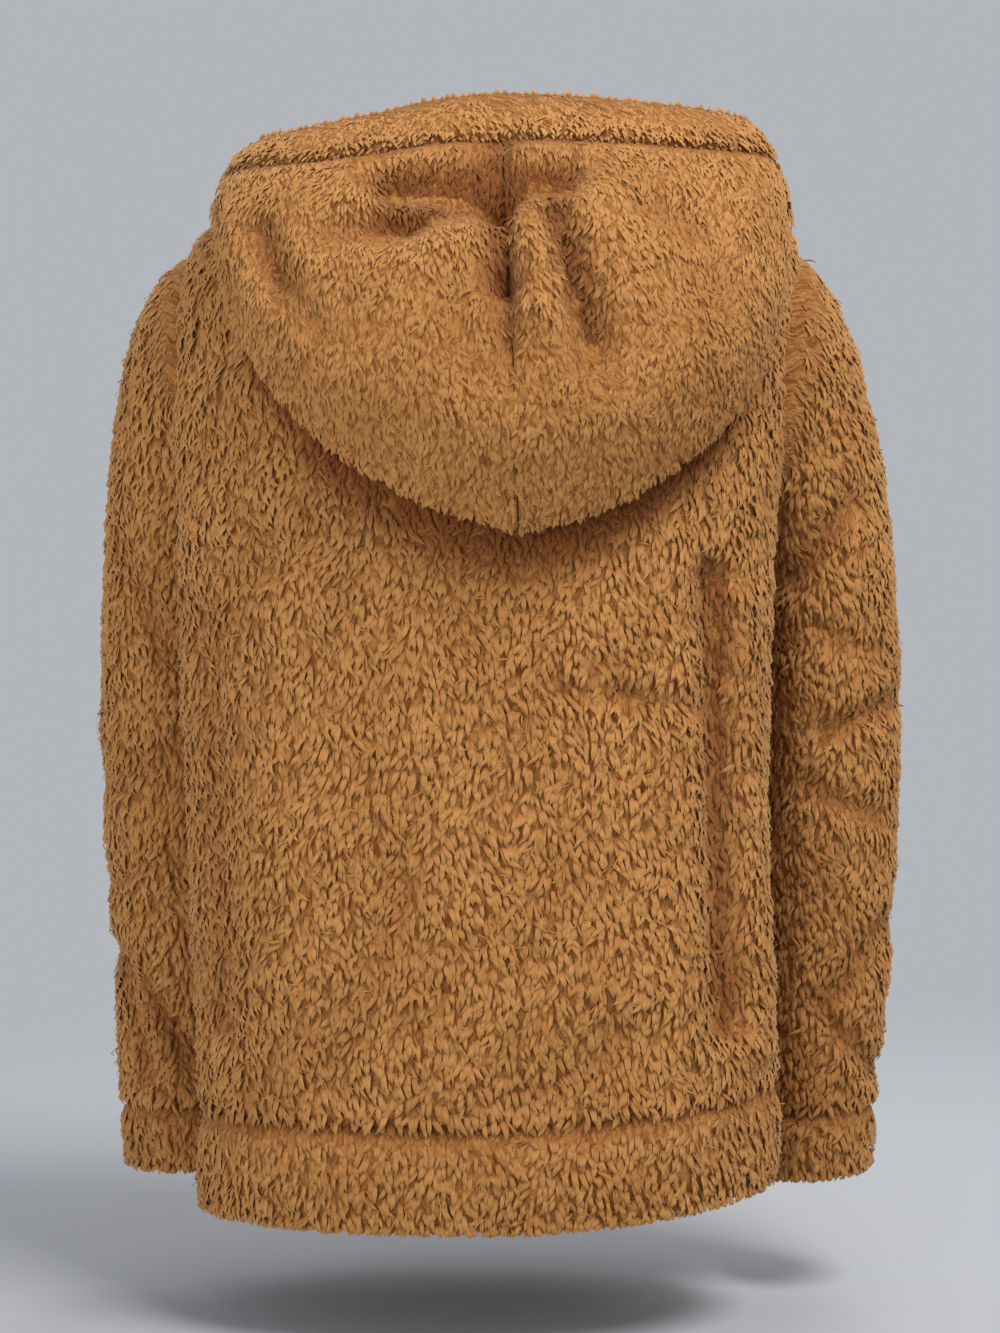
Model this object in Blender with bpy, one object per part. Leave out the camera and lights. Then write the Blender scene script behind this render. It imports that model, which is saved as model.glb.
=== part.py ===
"""Sherpa zip-up hoodie in its worn shape: zipped, hood down, sleeves hanging, nobody in it.

Metres, +Z up, front towards -Y, the wearer's left is +X. The origin is the middle of the neck
opening, at the height of the high shoulder points. Every cloth wall runs from the skin side of
the knit backing to the tips of the pile.
"""
import math

import bmesh
import bpy
import numpy as np

WALL = 0.007            # knit backing with its pile
BAND_EXTRA = 0.0008     # the turned hem round the face opening is this much thicker
GAP = 0.0003            # left open at every seam
CURVED_GAP = 0.0006     # the same at seams whose rims twist
HOOD_CLEAR = 0.0078     # hood cloth above the back it lies on
BAND_DEPTH = 0.037      # face-opening hem
HEM_SEAM = -0.622       # hem band from here ...
HEM_END = -0.685        # ... to here
UNDERARM = -0.260       # armhole, lowest and highest point
SHOULDER = -0.050
SIDE = math.radians(-6)  # side and shoulder seams lie a little forward
ZIP_HALF = 0.008        # half the slot between the fronts
TAPE = 0.001
BEHIND = 0.001          # tapes behind the skin side of the fronts
SLIDER_RING = -0.034    # body ring at which the slider sits

CLOTH = (0.47, 0.235, 0.085, 1.0)
TAPE_BROWN = (0.16, 0.075, 0.03, 1.0)
METAL = (0.42, 0.33, 0.20, 1.0)

# Torso rings by the height of the ring at the side: half widths left and right, back and front
# depth, centre, fall of the ring at front and back, squareness, hollows beside the sleeves.
TORSO = {
    "ring":   (-.690, -.627, -.557, -.424, -.358, -.265, -.179, -.120, -.085, -.050, -.020, 0.0),
    "left":   (.2075, .2090, .2130, .2205, .2240, .2280, .2280, .2240, .2170, .2030, .1370, .0870),
    "right":  (.1890, .1920, .1875, .1850, .1870, .1920, .1965, .2000, .2010, .1980, .1350, .0870),
    "back":   (.1540, .1560, .1580, .1530, .1500, .1460, .1400, .1310, .1220, .1080, .0850, .0650),
    "front":  (-.131, -.134, -.138, -.140, -.140, -.137, -.131, -.124, -.118, -.109, -.100, -.092),
    "centre": (-.008, -.008, -.008, -.008, -.008, -.008, -.008, -.007, -.006, -.005, -.005, -.006),
    "fall_f": (0.000, 0.000, 0.000, 0.000, 0.000, -.001, -.006, -.019, -.035, -.055, -.068, -.075),
    "fall_b": (0.000, 0.000, 0.000, 0.000, 0.000, 0.000, 0.000, 0.000, -.001, -.002, -.004, -.005),
    "square": (2.600, 2.600, 2.600, 2.600, 2.600, 2.600, 2.600, 2.500, 2.400, 2.300, 2.100, 2.000),
    "hollow_l": (.049, .0510, .0550, .0640, .0660, .0650, .0300, .0080, .0000, .0000, .0000, .0000),
    "hollow_r": (.029, .0310, .0290, .0280, .0280, .0290, .0120, .0030, .0000, .0000, .0000, .0000),
}
# Armhole half angles round the torso from the side line, towards the back and the front.
ARMHOLE = {"left": (math.radians(21), math.radians(20)), "right": (math.radians(24), math.radians(21))}

# Sleeves from armhole (0) to cuff seam (1) and cuff edge: outer line, inner line (x counts
# outwards), half depth, centre.
SLEEVE = {
    "left": {
        "along":   (0.000, 0.030, 0.080, 0.160, 0.280, 0.420, 0.560, 0.720, 0.860, 1.000, 1.070),
        "outer_x": (.2030, .2210, .2400, .2545, .2665, .2720, .2727, .2695, .2645, .2595, .2555),
        "outer_z": (-.050, -.060, -.086, -.127, -.197, -.285, -.369, -.466, -.552, -.631, -.674),
        "inner_x": (.1670, .1715, .1765, .1785, .1785, .1765, .1735, .1715, .1715, .1755, .1765),
        "inner_z": (-.260, -.258, -.264, -.280, -.316, -.370, -.428, -.503, -.570, -.631, -.674),
        "depth":   (.0650, .0650, .0650, .0645, .0640, .0630, .0615, .0580, .0545, .0500, .0460),
        "centre":  (-.025, -.026, -.029, -.031, -.033, -.034, -.035, -.036, -.037, -.037, -.037),
    },
    "right": {
        "along":   (0.000, 0.030, 0.080, 0.160, 0.280, 0.420, 0.560, 0.720, 0.860, 1.000, 1.070),
        "outer_x": (.1980, .2125, .2290, .2445, .2615, .2710, .2745, .2715, .2665, .2575, .2530),
        "outer_z": (-.050, -.061, -.086, -.127, -.197, -.285, -.369, -.466, -.552, -.633, -.677),
        "inner_x": (.1665, .1705, .1750, .1765, .1765, .1755, .1735, .1725, .1725, .1740, .1745),
        "inner_z": (-.260, -.258, -.264, -.280, -.316, -.370, -.428, -.503, -.572, -.637, -.682),
        "depth":   (.0650, .0650, .0650, .0645, .0640, .0630, .0615, .0580, .0545, .0500, .0460),
        "centre":  (-.025, -.026, -.029, -.031, -.033, -.034, -.035, -.036, -.037, -.037, -.037),
    },
}

# Hood by the share of the way from the zip (0) to the centre back (1), for each side: where it
# doubles back on the torso (angle, ring), the face edge, how far the outer layer bellies out, how
# much of the fold there is (0 stands up like a collar, 1 is a full pouch), how thick the fold is
# and the cloth's wall, which is pressed flat where the fold is tight. The swing carries the inner
# layer round the back before it comes out to the fold.
HOOD = {
    "left": {
        "way":    (0.000, 0.120, 0.250, 0.380, 0.500, 0.600, 0.700, 0.800, 0.900, 1.000),
        "angle":  (-84.5, -64.0, -30.0, 0.000, 23.00, 33.00, 43.00, 56.00, 75.00, 94.00),
        "ring":   (-.004, -.006, -.016, -.030, -.052, -.099, -.148, -.194, -.227, -.243),
        "edge_x": (.0120, .0520, .1080, .1480, .1590, .1450, .1160, .0790, .0390, .0000),
        "edge_y": (-.098, -.104, -.080, -.020, .0280, .0540, .0740, .0880, .0965, .1000),
        "edge_z": (-.044, -.030, .0000, .0160, .0150, .0140, .0160, .0205, .0275, .0305),
        "belly":  (.0060, .0080, .0100, .0080, .0060, .0180, .0340, .0480, .0570, .0600),
        "fold":   (0.000, 0.000, 0.000, 0.700, 1.000, 1.000, 1.000, 1.000, 1.000, 1.000),
        "thick":  (.0120, .0120, .0120, .0120, .0150, .0200, .0220, .0220, .0220, .0220),
        "swing":  (0.000, 0.000, 0.000, 9.000, 22.00, 19.00, 11.00, 4.000, 1.000, 0.000),
        "wall":   (.0038, .0037, .0027, .0024, .0036, .0048, .0055, .0055, .0055, .0055),
    },
    "right": {
        "way":    (0.000, 0.120, 0.250, 0.380, 0.500, 0.600, 0.700, 0.800, 0.900, 1.000),
        "angle":  (-84.5, -64.0, -30.0, -1.00, 21.00, 29.00, 39.00, 53.00, 69.00, 86.00),
        "ring":   (-.004, -.006, -.016, -.030, -.052, -.099, -.156, -.201, -.231, -.243),
        "edge_x": (.0120, .0520, .1080, .1500, .1650, .1510, .1200, .0810, .0400, .0000),
        "edge_y": (-.098, -.104, -.080, -.020, .0280, .0540, .0740, .0880, .0965, .1000),
        "edge_z": (-.044, -.030, .0020, .0240, .0260, .0265, .0275, .0285, .0300, .0305),
        "belly":  (.0060, .0080, .0100, .0080, .0060, .0180, .0340, .0480, .0570, .0600),
        "fold":   (0.000, 0.000, 0.000, 0.700, 1.000, 1.000, 1.000, 1.000, 1.000, 1.000),
        "thick":  (.0120, .0120, .0120, .0120, .0150, .0200, .0220, .0220, .0220, .0220),
        "swing":  (0.000, 0.000, 0.000, 9.000, 22.00, 19.00, 11.00, 4.000, 1.000, 0.000),
        "wall":   (.0038, .0037, .0027, .0024, .0036, .0048, .0055, .0055, .0055, .0055),
    },
}
# Length down the torso from the neck seam to a ring.
DOWN = {
    "ring":   (0.0000, 0.0200, 0.0500, 0.0850, 0.1200, 0.2500),
    "length": (0.0000, 0.0550, 0.1150, 0.1520, 0.1880, 0.3190),
}
# Where the points of a rib lie when it stands like a collar: share of its height.
STAND = (0, .03, .06, .09, .13, .17, .21, .25, .30, .35, .40, .44, .49, .54, .60, .68, 1)
# How the belly of the outer layer is spread from its fold (0) to the face edge (1).
BELLY = {
    "share": (0.00, 0.06, 0.25, 0.47, 0.64, 0.78, 0.87, 0.94, 1.00),
    "out":   (0.00, 0.36, 0.76, 1.00, 0.97, 0.72, 0.38, 0.12, 0.00),
}

# Folds seen from behind: from (x, z) to (x, z), width, height along the surface (a trough is
# negative). The last group lies on the front, which the photograph doesn't show.
FOLDS = {
    "torso_back": (
        (-.153, -.290, -.164, -.575, .015, .0080),
        (-.136, -.310, -.142, -.545, .013, -.0120),
        (-.035, -.347, -.122, -.357, .009, -.0030),
        (.188, -.300, .176, -.560, .014, -.0050),
        (.060, -.470, .110, -.585, .022, -.0030),
        (-.020, -.600, -.090, -.560, .016, -.0025),
    ),
    "torso_front": (
        (.150, -.230, .070, -.330, .018, -.0060),
        (-.150, -.240, -.060, -.350, .018, -.0060),
        (.130, -.420, .050, -.590, .016, -.0045),
        (-.120, -.400, -.060, -.560, .016, -.0045),
    ),
    "left": (
        (.2610, -.5250, .2380, -.6060, .009, -.0060),
        (.2400, -.5400, .2050, -.5980, .009, -.0060),
        (.2550, -.2600, .2150, -.3300, .014, -.0040),
        (.2100, -.3800, .2600, -.4100, .011, -.0035),
    ),
    "right": (
        (-.2640, -.3560, -.2180, -.3760, .009, -.0060),
        (-.1950, -.2750, -.2350, -.2200, .012, -.0060),
        (-.2600, -.5100, -.2150, -.5600, .011, -.0055),
        (-.2250, -.5750, -.2550, -.6050, .009, -.0045),
        (-.2550, -.4350, -.2100, -.4150, .010, -.0035),
    ),
    "hood": (
        (.0015, -.030, -.0040, -.150, .012, -.0130),
        (-.0040, -.150, -.0080, -.215, .010, -.0060),
        (.0500, -.036, -.0200, -.040, .020, -.0080),
        (.0150, -.034, .1000, -.068, .013, -.0090),
        (-.0180, -.045, -.0420, -.115, .013, -.0110),
        (-.0420, -.115, -.0680, -.168, .013, -.0080),
        (.1500, -.060, .1380, -.095, .012, -.0055),
        (.1380, -.095, .1080, -.140, .012, -.0045),
    ),
}


def smooth_through(table, key_column, columns, at):
    """The named columns at `at`, on a smooth line through the table that never overshoots."""
    x = np.asarray(table[key_column], float)
    y = np.stack([np.asarray(table[c], float) for c in columns], axis=-1)
    step = np.diff(x)[:, None]
    slope = np.diff(y, axis=0) / step
    grade = np.zeros_like(y)
    same = slope[:-1] * slope[1:] > 0
    safe = np.where(same, slope[:-1] + slope[1:], 1.0)
    grade[1:-1] = np.where(same, 2 * slope[:-1] * slope[1:] / safe, 0.0)
    grade[0], grade[-1] = slope[0], slope[-1]
    at = np.clip(np.asarray(at, float), x[0], x[-1])
    i = np.clip(np.searchsorted(x, at, side="right") - 1, 0, len(x) - 2)
    h = step[i]
    f = ((at - x[i])[..., None]) / h
    return ((1 + 2 * f) * (1 - f) ** 2 * y[i] + f * (1 - f) ** 2 * h * grade[i]
            + f * f * (3 - 2 * f) * y[i + 1] + f * f * (f - 1) * h * grade[i + 1])


def ease(value, start, stop):
    """0 before start, 1 after stop, with a soft step between them."""
    f = np.clip((np.asarray(value, float) - start) / (stop - start), 0.0, 1.0)
    return f * f * (3 - 2 * f)


def unit(v):
    return v / np.maximum(np.linalg.norm(v, axis=-1, keepdims=True), 1e-12)


def fold_height(points, folds):
    """Height of the folds at each point, from its distance to each fold's line in x and z."""
    flat = points[..., [0, 2]]
    total = np.zeros(flat.shape[:-1])
    for x0, z0, x1, z1, width, height in folds:
        start, line = np.array((x0, z0)), np.array((x1 - x0, z1 - z0))
        along = np.clip(((flat - start) @ line) / (line @ line), 0.0, 1.0)
        away = np.linalg.norm(flat - start - along[..., None] * line, axis=-1)
        total += height * np.exp(-(away / width) ** 2)
    return total


def surface_normal(surface, u, v, step_u, step_v):
    """Unit normal of surface(u, v), from the way the surface runs on both sides."""
    along_u = surface(u + step_u, v) - surface(u - step_u, v)
    along_v = surface(u, v + step_v) - surface(u, v - step_v)
    return unit(np.cross(along_u, along_v))


# ---------------------------------------------------------------- torso

def plain_torso(angle, ring):
    left, right, back, front, centre, fall_f, fall_b, square, hollow_l, hollow_r = np.moveaxis(
        smooth_through(TORSO, "ring", ("left", "right", "back", "front", "centre", "fall_f",
                                       "fall_b", "square", "hollow_l", "hollow_r"), ring), -1, 0)
    c, s = np.cos(angle), np.sin(angle)
    half = np.where(c >= 0, left, right)
    deep = np.where(s >= 0, back - centre, centre - front)
    radius = (np.abs(c / half) ** square + np.abs(s / deep) ** square) ** (-1 / square)
    x, y = radius * c, centre + radius * s
    pressed = np.exp(-np.abs((y + 0.030) / 0.070) ** 3) * ease(np.abs(x), 0.04, 0.15)
    x = x - np.sign(c) * np.where(c >= 0, hollow_l, hollow_r) * pressed
    raised = 0.017 * np.clip(-x / 0.18, 0, 1.1) ** 1.5 * ease(-ring, 0.35, 0.61)
    z = ring + np.where(s >= 0, fall_b, fall_f) * s * s + raised
    return np.stack((x, y, z), axis=-1)


def torso(angle, ring):
    """Outer face of the torso at an angle (0 left side, 90 degrees back) on a ring."""
    angle, ring = np.broadcast_arrays(np.asarray(angle, float), np.asarray(ring, float))
    base = plain_torso(angle, ring)
    n = surface_normal(plain_torso, angle, ring, 0.01, 0.002)
    height = fold_height(base, FOLDS["torso_back"]) * ease(n[..., 1], 0.0, 0.35)
    height += fold_height(base, FOLDS["torso_front"]) * ease(-n[..., 1], 0.1, 0.5)
    return base + n * (height * ease(-ring, 0.10, 0.20))[..., None]


def torso_normal(angle, ring):
    angle, ring = np.broadcast_arrays(np.asarray(angle, float), np.asarray(ring, float))
    return surface_normal(torso, angle, ring, 0.01, 0.002)


def armhole(turn, side, wider=0.0):
    """Angle and ring of the armhole's edge; turn 0 is the underarm, half a turn the shoulder."""
    to_back, to_front = ARMHOLE[side]
    sine = np.sin(turn)
    middle, half = (SHOULDER + UNDERARM) / 2, (SHOULDER - UNDERARM) / 2 + wider
    angle = SIDE + np.where(sine >= 0, to_back + wider / 0.2, to_front + wider / 0.2) * sine
    ring = middle - half * np.cos(turn)
    return (angle if side == "left" else np.pi - angle), ring


ARM_STEPS = 10
HALF_BACK, FRONT = 14, 9    # strips from the side seam to the centre back, and to the zip
BELOW = tuple(HEM_SEAM + GAP / 2 + (UNDERARM - GAP - HEM_SEAM - GAP / 2) * k / 9 for k in range(9))
ABOVE = (-0.036, -0.018, -GAP / 2)


def side_edge(ring, side, towards):
    """How far round from the side line a panel starts on a ring: half a gap, or the armhole."""
    to_back, to_front = ARMHOLE[side]
    reach = (to_back if towards == "back" else to_front) + CURVED_GAP / 0.2
    middle, half = (SHOULDER + UNDERARM) / 2, (SHOULDER - UNDERARM) / 2 + CURVED_GAP
    inside = 1 - ((ring - middle) / half) ** 2
    radius = float(np.linalg.norm(plain_torso(0.0 if side == "left" else math.pi, ring)[:2]))
    return max(reach * math.sqrt(max(inside, 0.0)), GAP / 2 / radius)


def panel_rings():
    middle, half = (SHOULDER + UNDERARM) / 2, (SHOULDER - UNDERARM) / 2 + CURVED_GAP
    across = [middle - half * math.cos(math.pi * k / ARM_STEPS) for k in range(ARM_STEPS + 1)]
    return list(BELOW) + across + list(ABOVE)


def zip_angle(x, ring):
    """Angle on a ring at which the front lies at this x."""
    centre, front = smooth_through(TORSO, "ring", ("centre", "front"), ring)
    return -math.pi / 2 + math.asin(x / (centre - front))


def torso_panel(towards, side=None):
    """Angles and rings of the back panel, or of the front on one side."""
    angles, rings = [], []
    for ring in panel_rings():
        left, right = side_edge(ring, "left", towards), side_edge(ring, "right", towards)
        if towards == "back":
            row = np.linspace(SIDE + left, math.pi - SIDE - right, 2 * HALF_BACK + 1)
        elif side == "left":
            row = np.linspace(zip_angle(ZIP_HALF, ring), SIDE - left, FRONT + 1)
        else:
            row = np.linspace(zip_angle(-ZIP_HALF, ring), -math.pi - SIDE + right, FRONT + 1)
        angles.append(row)
        rings.append(np.full(len(row), ring))
    return np.array(angles), np.array(rings)


# ---------------------------------------------------------------- sleeves

def sleeve(turn, along, side):
    """Outer face of a sleeve; turn 0 is the inner line, half a turn the outer line."""
    turn, along = np.broadcast_arrays(np.asarray(turn, float), np.asarray(along, float))
    sign = 1.0 if side == "left" else -1.0
    columns = ("outer_x", "outer_z", "inner_x", "inner_z", "depth", "centre")

    def plain(turn, along):
        ox, oz, ix, iz, deep, centre = np.moveaxis(
            smooth_through(SLEEVE[side], "along", columns, along), -1, 0)
        c, s = np.cos(turn), np.sin(turn)
        bulge = (np.abs(c) ** 2.2 + np.abs(s) ** 2.2) ** (-1 / 2.2)
        c, s = c * bulge, s * bulge
        x = (ox + ix) / 2 - c * (ox - ix) / 2
        z = (oz + iz) / 2 - c * (oz - iz) / 2
        return np.stack((sign * x, centre + s * deep, z), axis=-1)

    angle, ring = armhole(turn, side)
    kept = np.clip(1 - along / 0.22, 0, 1)[..., None] ** 2
    shape = plain(turn, along) + (torso(angle, ring) - plain(turn, np.zeros_like(along))) * kept
    middle = plain(np.zeros_like(turn), along) / 2 + plain(np.full_like(turn, np.pi), along) / 2
    out = unit((shape - middle) * (1, 1, 0.3))
    height = fold_height(shape, FOLDS[side]) * ease(out[..., 1], -0.6, 0.1)
    return shape + out * height[..., None]


def sleeve_sheet(side, places):
    turns = np.linspace(0, 2 * np.pi, 2 * ARM_STEPS, endpoint=False)
    turn, along = np.meshgrid(turns, np.array(places), indexing="xy")
    face = sleeve(turn, along, side)

    def ahead(t, a):
        return sleeve(t, np.maximum(a, 0.0), side)

    n = surface_normal(ahead, turn, along, 0.02, 0.004)
    middle = face.mean(axis=1, keepdims=True)
    if np.sum(n * (face - middle)) < 0:
        n = -n
    near = np.clip(1 - along / 0.12, 0, 1)[..., None]
    return face, unit(n + (torso_normal(*armhole(turn, side, CURVED_GAP)) - n) * near)


# ---------------------------------------------------------------- hood

HOOD_ROWS = (0, .5, 1, 1.5, 2, 2.5, 3, 4, 5, 6, 7, 7.5, 8, 8.5, 9, 10, 11, 12, 13, 14, 15)
NECK_START = math.degrees(zip_angle(ZIP_HALF, 0.0))


def neck_degrees(way):
    """Angle on the neck ring at which a rib of the hood starts."""
    return NECK_START + (90 - NECK_START) * way


def hood_ways():
    """Places across one half of the hood, from the centre back, on the strips of the panels."""
    side = math.degrees(SIDE)
    behind = np.linspace(90, side, HALF_BACK + 1)[1:]
    before = np.linspace(side, NECK_START, FRONT + 1)[1:]
    slit = GAP / 2 / 0.16
    return [slit] + [1 - (d - NECK_START) / (90 - NECK_START) for d in (*behind, *before)]


def hood_rib(across):
    """Points of one rib of the hood on its pile side, from the neck seam to the face edge.

    across runs from the zip on the right (-1) by the centre back (0) to the zip on the left (1).
    """
    side, sign = ("left", 1.0) if across >= 0 else ("right", -1.0)
    way = 1 - abs(across)
    turn, ring, ex, ey, ez, belly, fold, thick, swing = smooth_through(
        HOOD[side], "way", ("angle", "ring", "edge_x", "edge_y", "edge_z", "belly", "fold", "thick",
                            "swing"), way)
    start = neck_degrees(way)
    shares = np.array((0.0, 0.25, 0.50, 0.75, 1.0))
    angles = np.radians(start + (turn - start) * shares + swing * np.sin(np.pi * shares))
    angles = angles if side == "left" else np.pi - angles
    whole = np.interp(-ring, DOWN["ring"], DOWN["length"])
    rings = -np.interp(whole * shares, DOWN["length"], DOWN["ring"])
    under, n = torso(angles, rings), torso_normal(angles, rings)
    out = unit(under[0] * (1, 1, 0) + (0, 0.006, 0))
    up = np.array((0.0, 0.0, 1.0))
    edge = np.array((sign * ex, ey, ez))
    seam = under[0] + up * GAP / 2

    roll = [seam, seam + up * 0.009 - out * 0.0005, seam + up * 0.0155 + out * 0.0065,
            seam + up * 0.0125 + out * 0.0160]
    lying = list(under[1:] + n[1:] * HOOD_CLEAR)
    thick = thick / max(fold, 0.3)
    bend = under[-1] + n[-1] * (HOOD_CLEAR + thick / 2) + unit(lying[-1] - lying[-2]) * thick / 2
    back = under[-1] + n[-1] * (HOOD_CLEAR + thick)
    rear = float(ease(way, 0.40, 0.75))
    lean = unit(np.array((sign * (1 - 0.65 * rear) * ex / 0.16, rear, 0.45 - 0.33 * rear)))
    length = float(np.linalg.norm(edge - back))
    band = 1 - min(BAND_DEPTH, 0.45 * length) / length
    outer = []
    for share in (0.18 * band, 0.38 * band, 0.58 * band, 0.76 * band, 0.90 * band, band, 1.0):
        lift = smooth_through(BELLY, "share", ("out",), share)[0] * belly
        outer.append(back + (edge - back) * share + lean * lift)
    pouch = np.array(roll + lying + [bend, back] + outer)

    shares = np.array(STAND)
    stand = seam + np.outer(shares, edge - seam) + np.outer(np.sin(shares * np.pi) * belly, out)
    return stand + (pouch - stand) * fold


def along_rib(ribs, rows):
    """Points of a rib at the rows, on a smooth line that allows for its uneven steps."""
    step = np.sqrt(np.linalg.norm(np.diff(ribs, axis=0), axis=1))[:, None]
    slope = np.diff(ribs, axis=0) / step
    grade = np.concatenate((slope[:1], (slope[:-1] * step[1:] + slope[1:] * step[:-1])
                            / (step[:-1] + step[1:]), slope[-1:]))
    i = np.clip(np.floor(rows).astype(int), 0, len(ribs) - 2)
    f, h = (rows - i)[:, None], step[i]
    return ((1 + 2 * f) * (1 - f) ** 2 * ribs[i] + f * (1 - f) ** 2 * h * grade[i]
            + f * f * (3 - 2 * f) * ribs[i + 1] + f * f * (f - 1) * h * grade[i + 1])


def hood_sheet(places, rows):
    """Pile side of the hood and its normals, over the places across and the rows of a rib."""
    rows = np.array(rows, float)
    columns, normals = [], []
    for place in places:
        near = [hood_rib(place + step) for step in (-0.005, 0.0, 0.005)]
        grid = [along_rib(near[0], rows), along_rib(near[2], rows),
                along_rib(near[1], rows - 0.06), along_rib(near[1], rows + 0.06)]
        base = along_rib(near[1], rows)
        n = unit(np.cross(grid[1] - grid[0], grid[3] - grid[2]))
        seen = ease(rows, 10.0, 11.5) * ease(np.abs(n[:, 1]), 0.0, 0.4) * ease(base[:, 1], 0.02, 0.06)
        away = n * (np.sign(n[:, 1:2]) * seen[:, None])
        grid = [g + away * fold_height(g, FOLDS["hood"])[:, None] for g in grid]
        columns.append(base + away * fold_height(base, FOLDS["hood"])[:, None])
        normals.append(unit(np.cross(grid[1] - grid[0], grid[3] - grid[2])))
    return np.stack(columns, axis=1), np.stack(normals, axis=1)


# ---------------------------------------------------------------- solids

def material(name, colour, metal=0.0):
    found = bpy.data.materials.get(name)
    if found:
        return found
    made = bpy.data.materials.new(name)
    made.use_nodes = True
    shader = made.node_tree.nodes["Principled BSDF"]
    shader.inputs["Base Color"].default_value = colour
    shader.inputs["Roughness"].default_value = 0.35 if metal else 0.95
    shader.inputs["Metallic"].default_value = metal
    made.diffuse_color = colour
    return made


def add_object(name, points, faces, paint, smooth=True):
    mesh = bpy.data.meshes.new(name)
    mesh.from_pydata([tuple(map(float, p)) for p in points], [], faces)
    work = bmesh.new()
    work.from_mesh(mesh)
    bmesh.ops.recalc_face_normals(work, faces=work.faces)
    work.to_mesh(mesh)
    work.free()
    made = bpy.data.objects.new(name, mesh)
    bpy.context.scene.collection.objects.link(made)
    mesh.materials.append(paint)
    for polygon in mesh.polygons:
        polygon.use_smooth = smooth
    if smooth:
        mesh.set_sharp_from_angle(angle=math.radians(50))
    return made


def walled(name, face, back, paint, ring=False):
    """Closed solid between two grids of points, open or closed round its columns."""
    rows, columns = face.shape[:2]
    points = np.concatenate((face.reshape(-1, 3), back.reshape(-1, 3)))
    skin = rows * columns
    faces = []

    def at(r, c):
        return r * columns + c % columns

    def apart(i, j):
        return np.linalg.norm(points[i] - points[j])

    span = columns if ring else columns - 1
    for r in range(rows - 1):
        for c in range(span):
            corners = [at(r, c), at(r, c + 1), at(r + 1, c + 1), at(r + 1, c)]
            if apart(corners[1], corners[3]) < apart(corners[0], corners[2]):
                corners = corners[1:] + corners[:1]
            for half in (corners[:3], corners[2:] + corners[:1]):
                faces.append(half)
                faces.append([i + skin for i in reversed(half)])
    rim = [(at(r, c), at(r, c + 1)) for r in (0, rows - 1) for c in range(span)]
    if not ring:
        rim += [(at(r, c), at(r + 1, c)) for c in (0, columns - 1) for r in range(rows - 1)]
    for pair in rim:
        # every rim is cut from its lower point, so the two sides of a seam match
        low, high = sorted(pair, key=lambda i: points[i][2] + 0.01 * abs(points[i][0]))
        faces.append([low, high, high + skin])
        faces.append([low, high + skin, low + skin])
    return add_object(name, points, faces, paint)


def boxes(name, parts, paint, frame):
    """One solid from boxes added and cut in turn, in the zip's own frame (x, along, out)."""
    origin, along, out = frame
    made = None
    for work, low, high in parts:
        corners = [origin + np.array((x, 0, 0)) + along * a + out * o
                   for x in (low[0], high[0]) for a in (low[1], high[1]) for o in (low[2], high[2])]
        faces = [(0, 1, 3, 2), (4, 6, 7, 5), (0, 4, 5, 1), (2, 3, 7, 6), (0, 2, 6, 4), (1, 5, 7, 3)]
        box = add_object(name if made is None else name + "_piece", corners, faces, paint, False)
        if made is None:
            made = box
            continue
        step = made.modifiers.new(work, "BOOLEAN")
        step.operation = "UNION" if work == "add" else "DIFFERENCE"
        step.solver = "EXACT"
        step.object = box
        whole = bpy.data.meshes.new_from_object(
            made.evaluated_get(bpy.context.evaluated_depsgraph_get()))
        made.modifiers.clear()
        made.data = whole
        bpy.data.objects.remove(box)
    return made


def build_torso(cloth):
    for name, towards, side in (("back_panel", "back", None), ("front_left", "front", "left"),
                                ("front_right", "front", "right")):
        angle, ring = torso_panel(towards, side)
        face = torso(angle, ring)
        walled(name, face, face - torso_normal(angle, ring) * WALL, cloth)

    rings = np.linspace(HEM_SEAM - GAP / 2, HEM_END, 4)
    rows = []
    for ring in rings:
        start, stop = zip_angle(ZIP_HALF, ring), zip_angle(-ZIP_HALF, ring) + 2 * math.pi
        rows.append(np.linspace(start, stop, 57))
    angle, ring = np.array(rows), np.repeat(rings[:, None], 57, axis=1)
    face = torso(angle, ring)
    walled("hem_band", face, face - torso_normal(angle, ring) * WALL, cloth)


def build_sleeves(cloth):
    for side in ("left", "right"):
        places = [0, .015, .04, .07, .11, .155] + [.20 + .05 * k for k in range(16)] + [1 - GAP / 1.2]
        face, n = sleeve_sheet(side, places)
        walled("sleeve_" + side, face, face - n * WALL, cloth, ring=True)
        face, n = sleeve_sheet(side, [1 + GAP / 1.2, 1.024, 1.047, 1.07])
        walled("cuff_" + side, face, face - n * WALL, cloth, ring=True)


def hood_wall(across):
    return smooth_through(HOOD["left"], "way", ("wall",), 1 - np.abs(across))


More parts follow.
